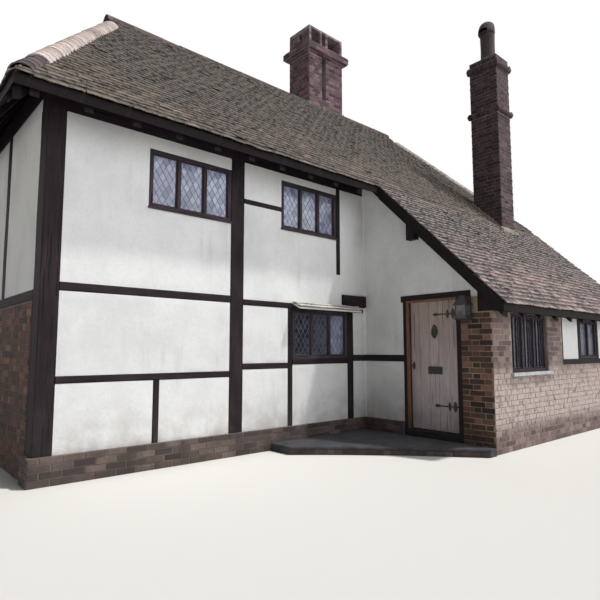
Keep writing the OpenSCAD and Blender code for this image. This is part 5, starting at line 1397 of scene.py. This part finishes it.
def lantern_glass():
    """Four panes a little inside the lantern's bars, and a candle tube on its base."""
    y1 = PIER_Y - 0.020
    y0 = y1 - 0.190
    x0 = OUT_X - 0.200
    x1 = x0 + 0.84 * 0.190
    low, high = 1.795, 1.978
    a, b = 0.018, 0.024
    panes = [((x0 + a, y0 + b), (x0 + a, y1 - b)), ((x1 - a, y0 + b), (x1 - a, y1 - b)),
             ((x0 + b, y0 + a), (x1 - b, y0 + a)), ((x0 + b, y1 - a), (x1 - b, y1 - a))]
    centre = np.array([(x0 + x1) / 2, (y0 + y1) / 2])
    rings = []
    for a, b in panes:
        a, b = np.array(a), np.array(b)
        inwards = centre - (a + b) / 2
        inwards = 0.003 * inwards / np.linalg.norm(inwards)
        flat = [a, b, b + inwards, a + inwards]
        rings.append([[np.append(q, z) for q in flat] for z in (low, high)])
    put_mesh("lantern_panes", *loft(np.array(rings)), lantern_pane, "window_glass", turn=True)
    angle = np.linspace(0, 2 * math.pi, 16, endpoint=False)
    radius = np.array([0.030, 0.030, 0.022, 0.020, 0.016])
    height = np.array([0.0, 0.012, 0.016, 0.085, 0.100]) + 1.795
    tube = np.stack([centre[0] + radius[:, None] * np.cos(angle), centre[1] + radius[:, None] * np.sin(angle),
                     np.broadcast_to(height[:, None], (5, 16))], axis=-1)
    put_mesh("lantern_candle", *loft(tube[None]), sill_white, "painted_sill", turn=True, smooth=True)


lantern_glass()


# Materials of the solids that stay

FINISHES = (
    (flag_stone, "ground_floor outshut_floor"), (floor_wood, "first_floor"),
    (mortar_dark, "front_plinth other_plinths end_wall_brick"), (mortar_yellow, "brick_pier"),
    (mortar_pale, "outshut_brick"), (mortar_stack, "ridge_chimney outer_chimney"), (pot_clay, "chimney_pot"),
    (plaster, "front_panels rear_panels end_wall_panels over_door_panel outshut_panels"),
    (oak_x, "wall_plates purlin_and_girt outshut_timber"), (oak_y, "door_wall_beams"),
    (oak_black, "front_posts front_rails rear_frame end_wall_beams door_posts threshold"),
    # The roof slabs, boards and rafters take the near-black soffit timber, a painted shade under the eaves.
    (soffit_wood_painted_shade, "front_roof catslide_roof rear_roof hip_roofs roof_boards long_rafters short_rafters"),
    (sill_white, "outshut_sills"), (window_wood, "window_frames"), (glass_leaded, "window_glass"),
    (hood_wood, "window_hood"), (door_wood, "front_door"), (stone_grey, "front_step"),
    (iron_black, "door_ironwork door_hinges hinge_pins wall_lantern"),
    (ridge_clay, "ridge_tiles"), (bonnet_clay, "hip_tiles"))
for material, node_names in FINISHES:
    for node_name in node_names.split():
        NODES[node_name].data.materials.clear()
        NODES[node_name].data.materials.append(material)


# Floor, light, camera

def pale_floor():
    material, tree, shader = new_material("pale_floor")
    shader.inputs["Base Color"].default_value = rgb(225, 224, 221)
    shader.inputs["Roughness"].default_value = 0.9
    mesh = bpy.data.meshes.new("studio_floor")
    mesh.from_pydata([(-150, -150, 0), (150, -150, 0), (150, 150, 0), (-150, 150, 0)], [], [(0, 1, 2, 3)])
    mesh.materials.append(material)
    floor = bpy.data.objects.new("studio_floor", mesh)
    bpy.context.scene.collection.objects.link(floor)
    floor.location.z = -0.001


def lamp(name, direction, strength, angle, colour):
    """A sun whose light travels in one direction, its size given as an angle in degrees."""
    from mathutils import Vector
    data = bpy.data.lights.new(name, "SUN")
    data.energy = strength
    data.angle = math.radians(angle)
    data.color = colour
    light = bpy.data.objects.new(name, data)
    light.rotation_euler = Vector(direction).to_track_quat("-Z", "Y").to_euler()
    bpy.context.scene.collection.objects.link(light)


def world_light(fill):
    """A plain soft fill, and white wherever the camera, a reflection or clear glass sees it."""
    world = bpy.data.worlds.new("studio")
    bpy.context.scene.world = world
    world.use_nodes = True
    tree = world.node_tree
    tree.nodes.clear()
    path = put(tree, "ShaderNodeLightPath").outputs
    seen = maths(tree, "MAXIMUM", maths(tree, "MAXIMUM", path["Is Camera Ray"], path["Is Glossy Ray"]),
                 path["Is Transmission Ray"])
    soft = put(tree, "ShaderNodeBackground", {"Color": (0.97, 0.985, 1.0, 1.0), "Strength": fill})
    white = put(tree, "ShaderNodeBackground", {"Color": (1.0, 1.0, 1.0, 1.0), "Strength": 1.0})
    both = put(tree, "ShaderNodeMixShader", {0: seen, 1: soft.outputs[0], 2: white.outputs[0]})
    put(tree, "ShaderNodeOutputWorld", {"Surface": both.outputs[0]})


def photo_camera():
    """The camera's place and lens, as fitted to the straight edges of the house."""
    from mathutils import Matrix, Vector
    data = bpy.data.cameras.new("camera")
    data.sensor_width = 36.0
    data.lens = 30.91
    data.clip_end = 500.0
    camera = bpy.data.objects.new("camera", data)
    right, up = Vector((0.7513, -0.6600, 0.0)), Vector((-0.0642, -0.0731, 0.9953))
    back = right.cross(up)
    turn = Matrix((right, up, back)).transposed().to_4x4()
    camera.matrix_world = Matrix.Translation((-6.512, -8.223, 1.361)) @ turn
    bpy.context.scene.collection.objects.link(camera)
    bpy.context.scene.camera = camera


pale_floor()
world_light(0.105)
lamp("high_sun", (-0.341, 0.2915, -0.895), 2.75, 2.5, (1.0, 0.975, 0.93))
lamp("front_fill", (-0.34, 1.0, -0.35), 1.72, 58.0, (0.97, 0.98, 1.0))
photo_camera()
bpy.context.scene.view_settings.view_transform = "Standard"
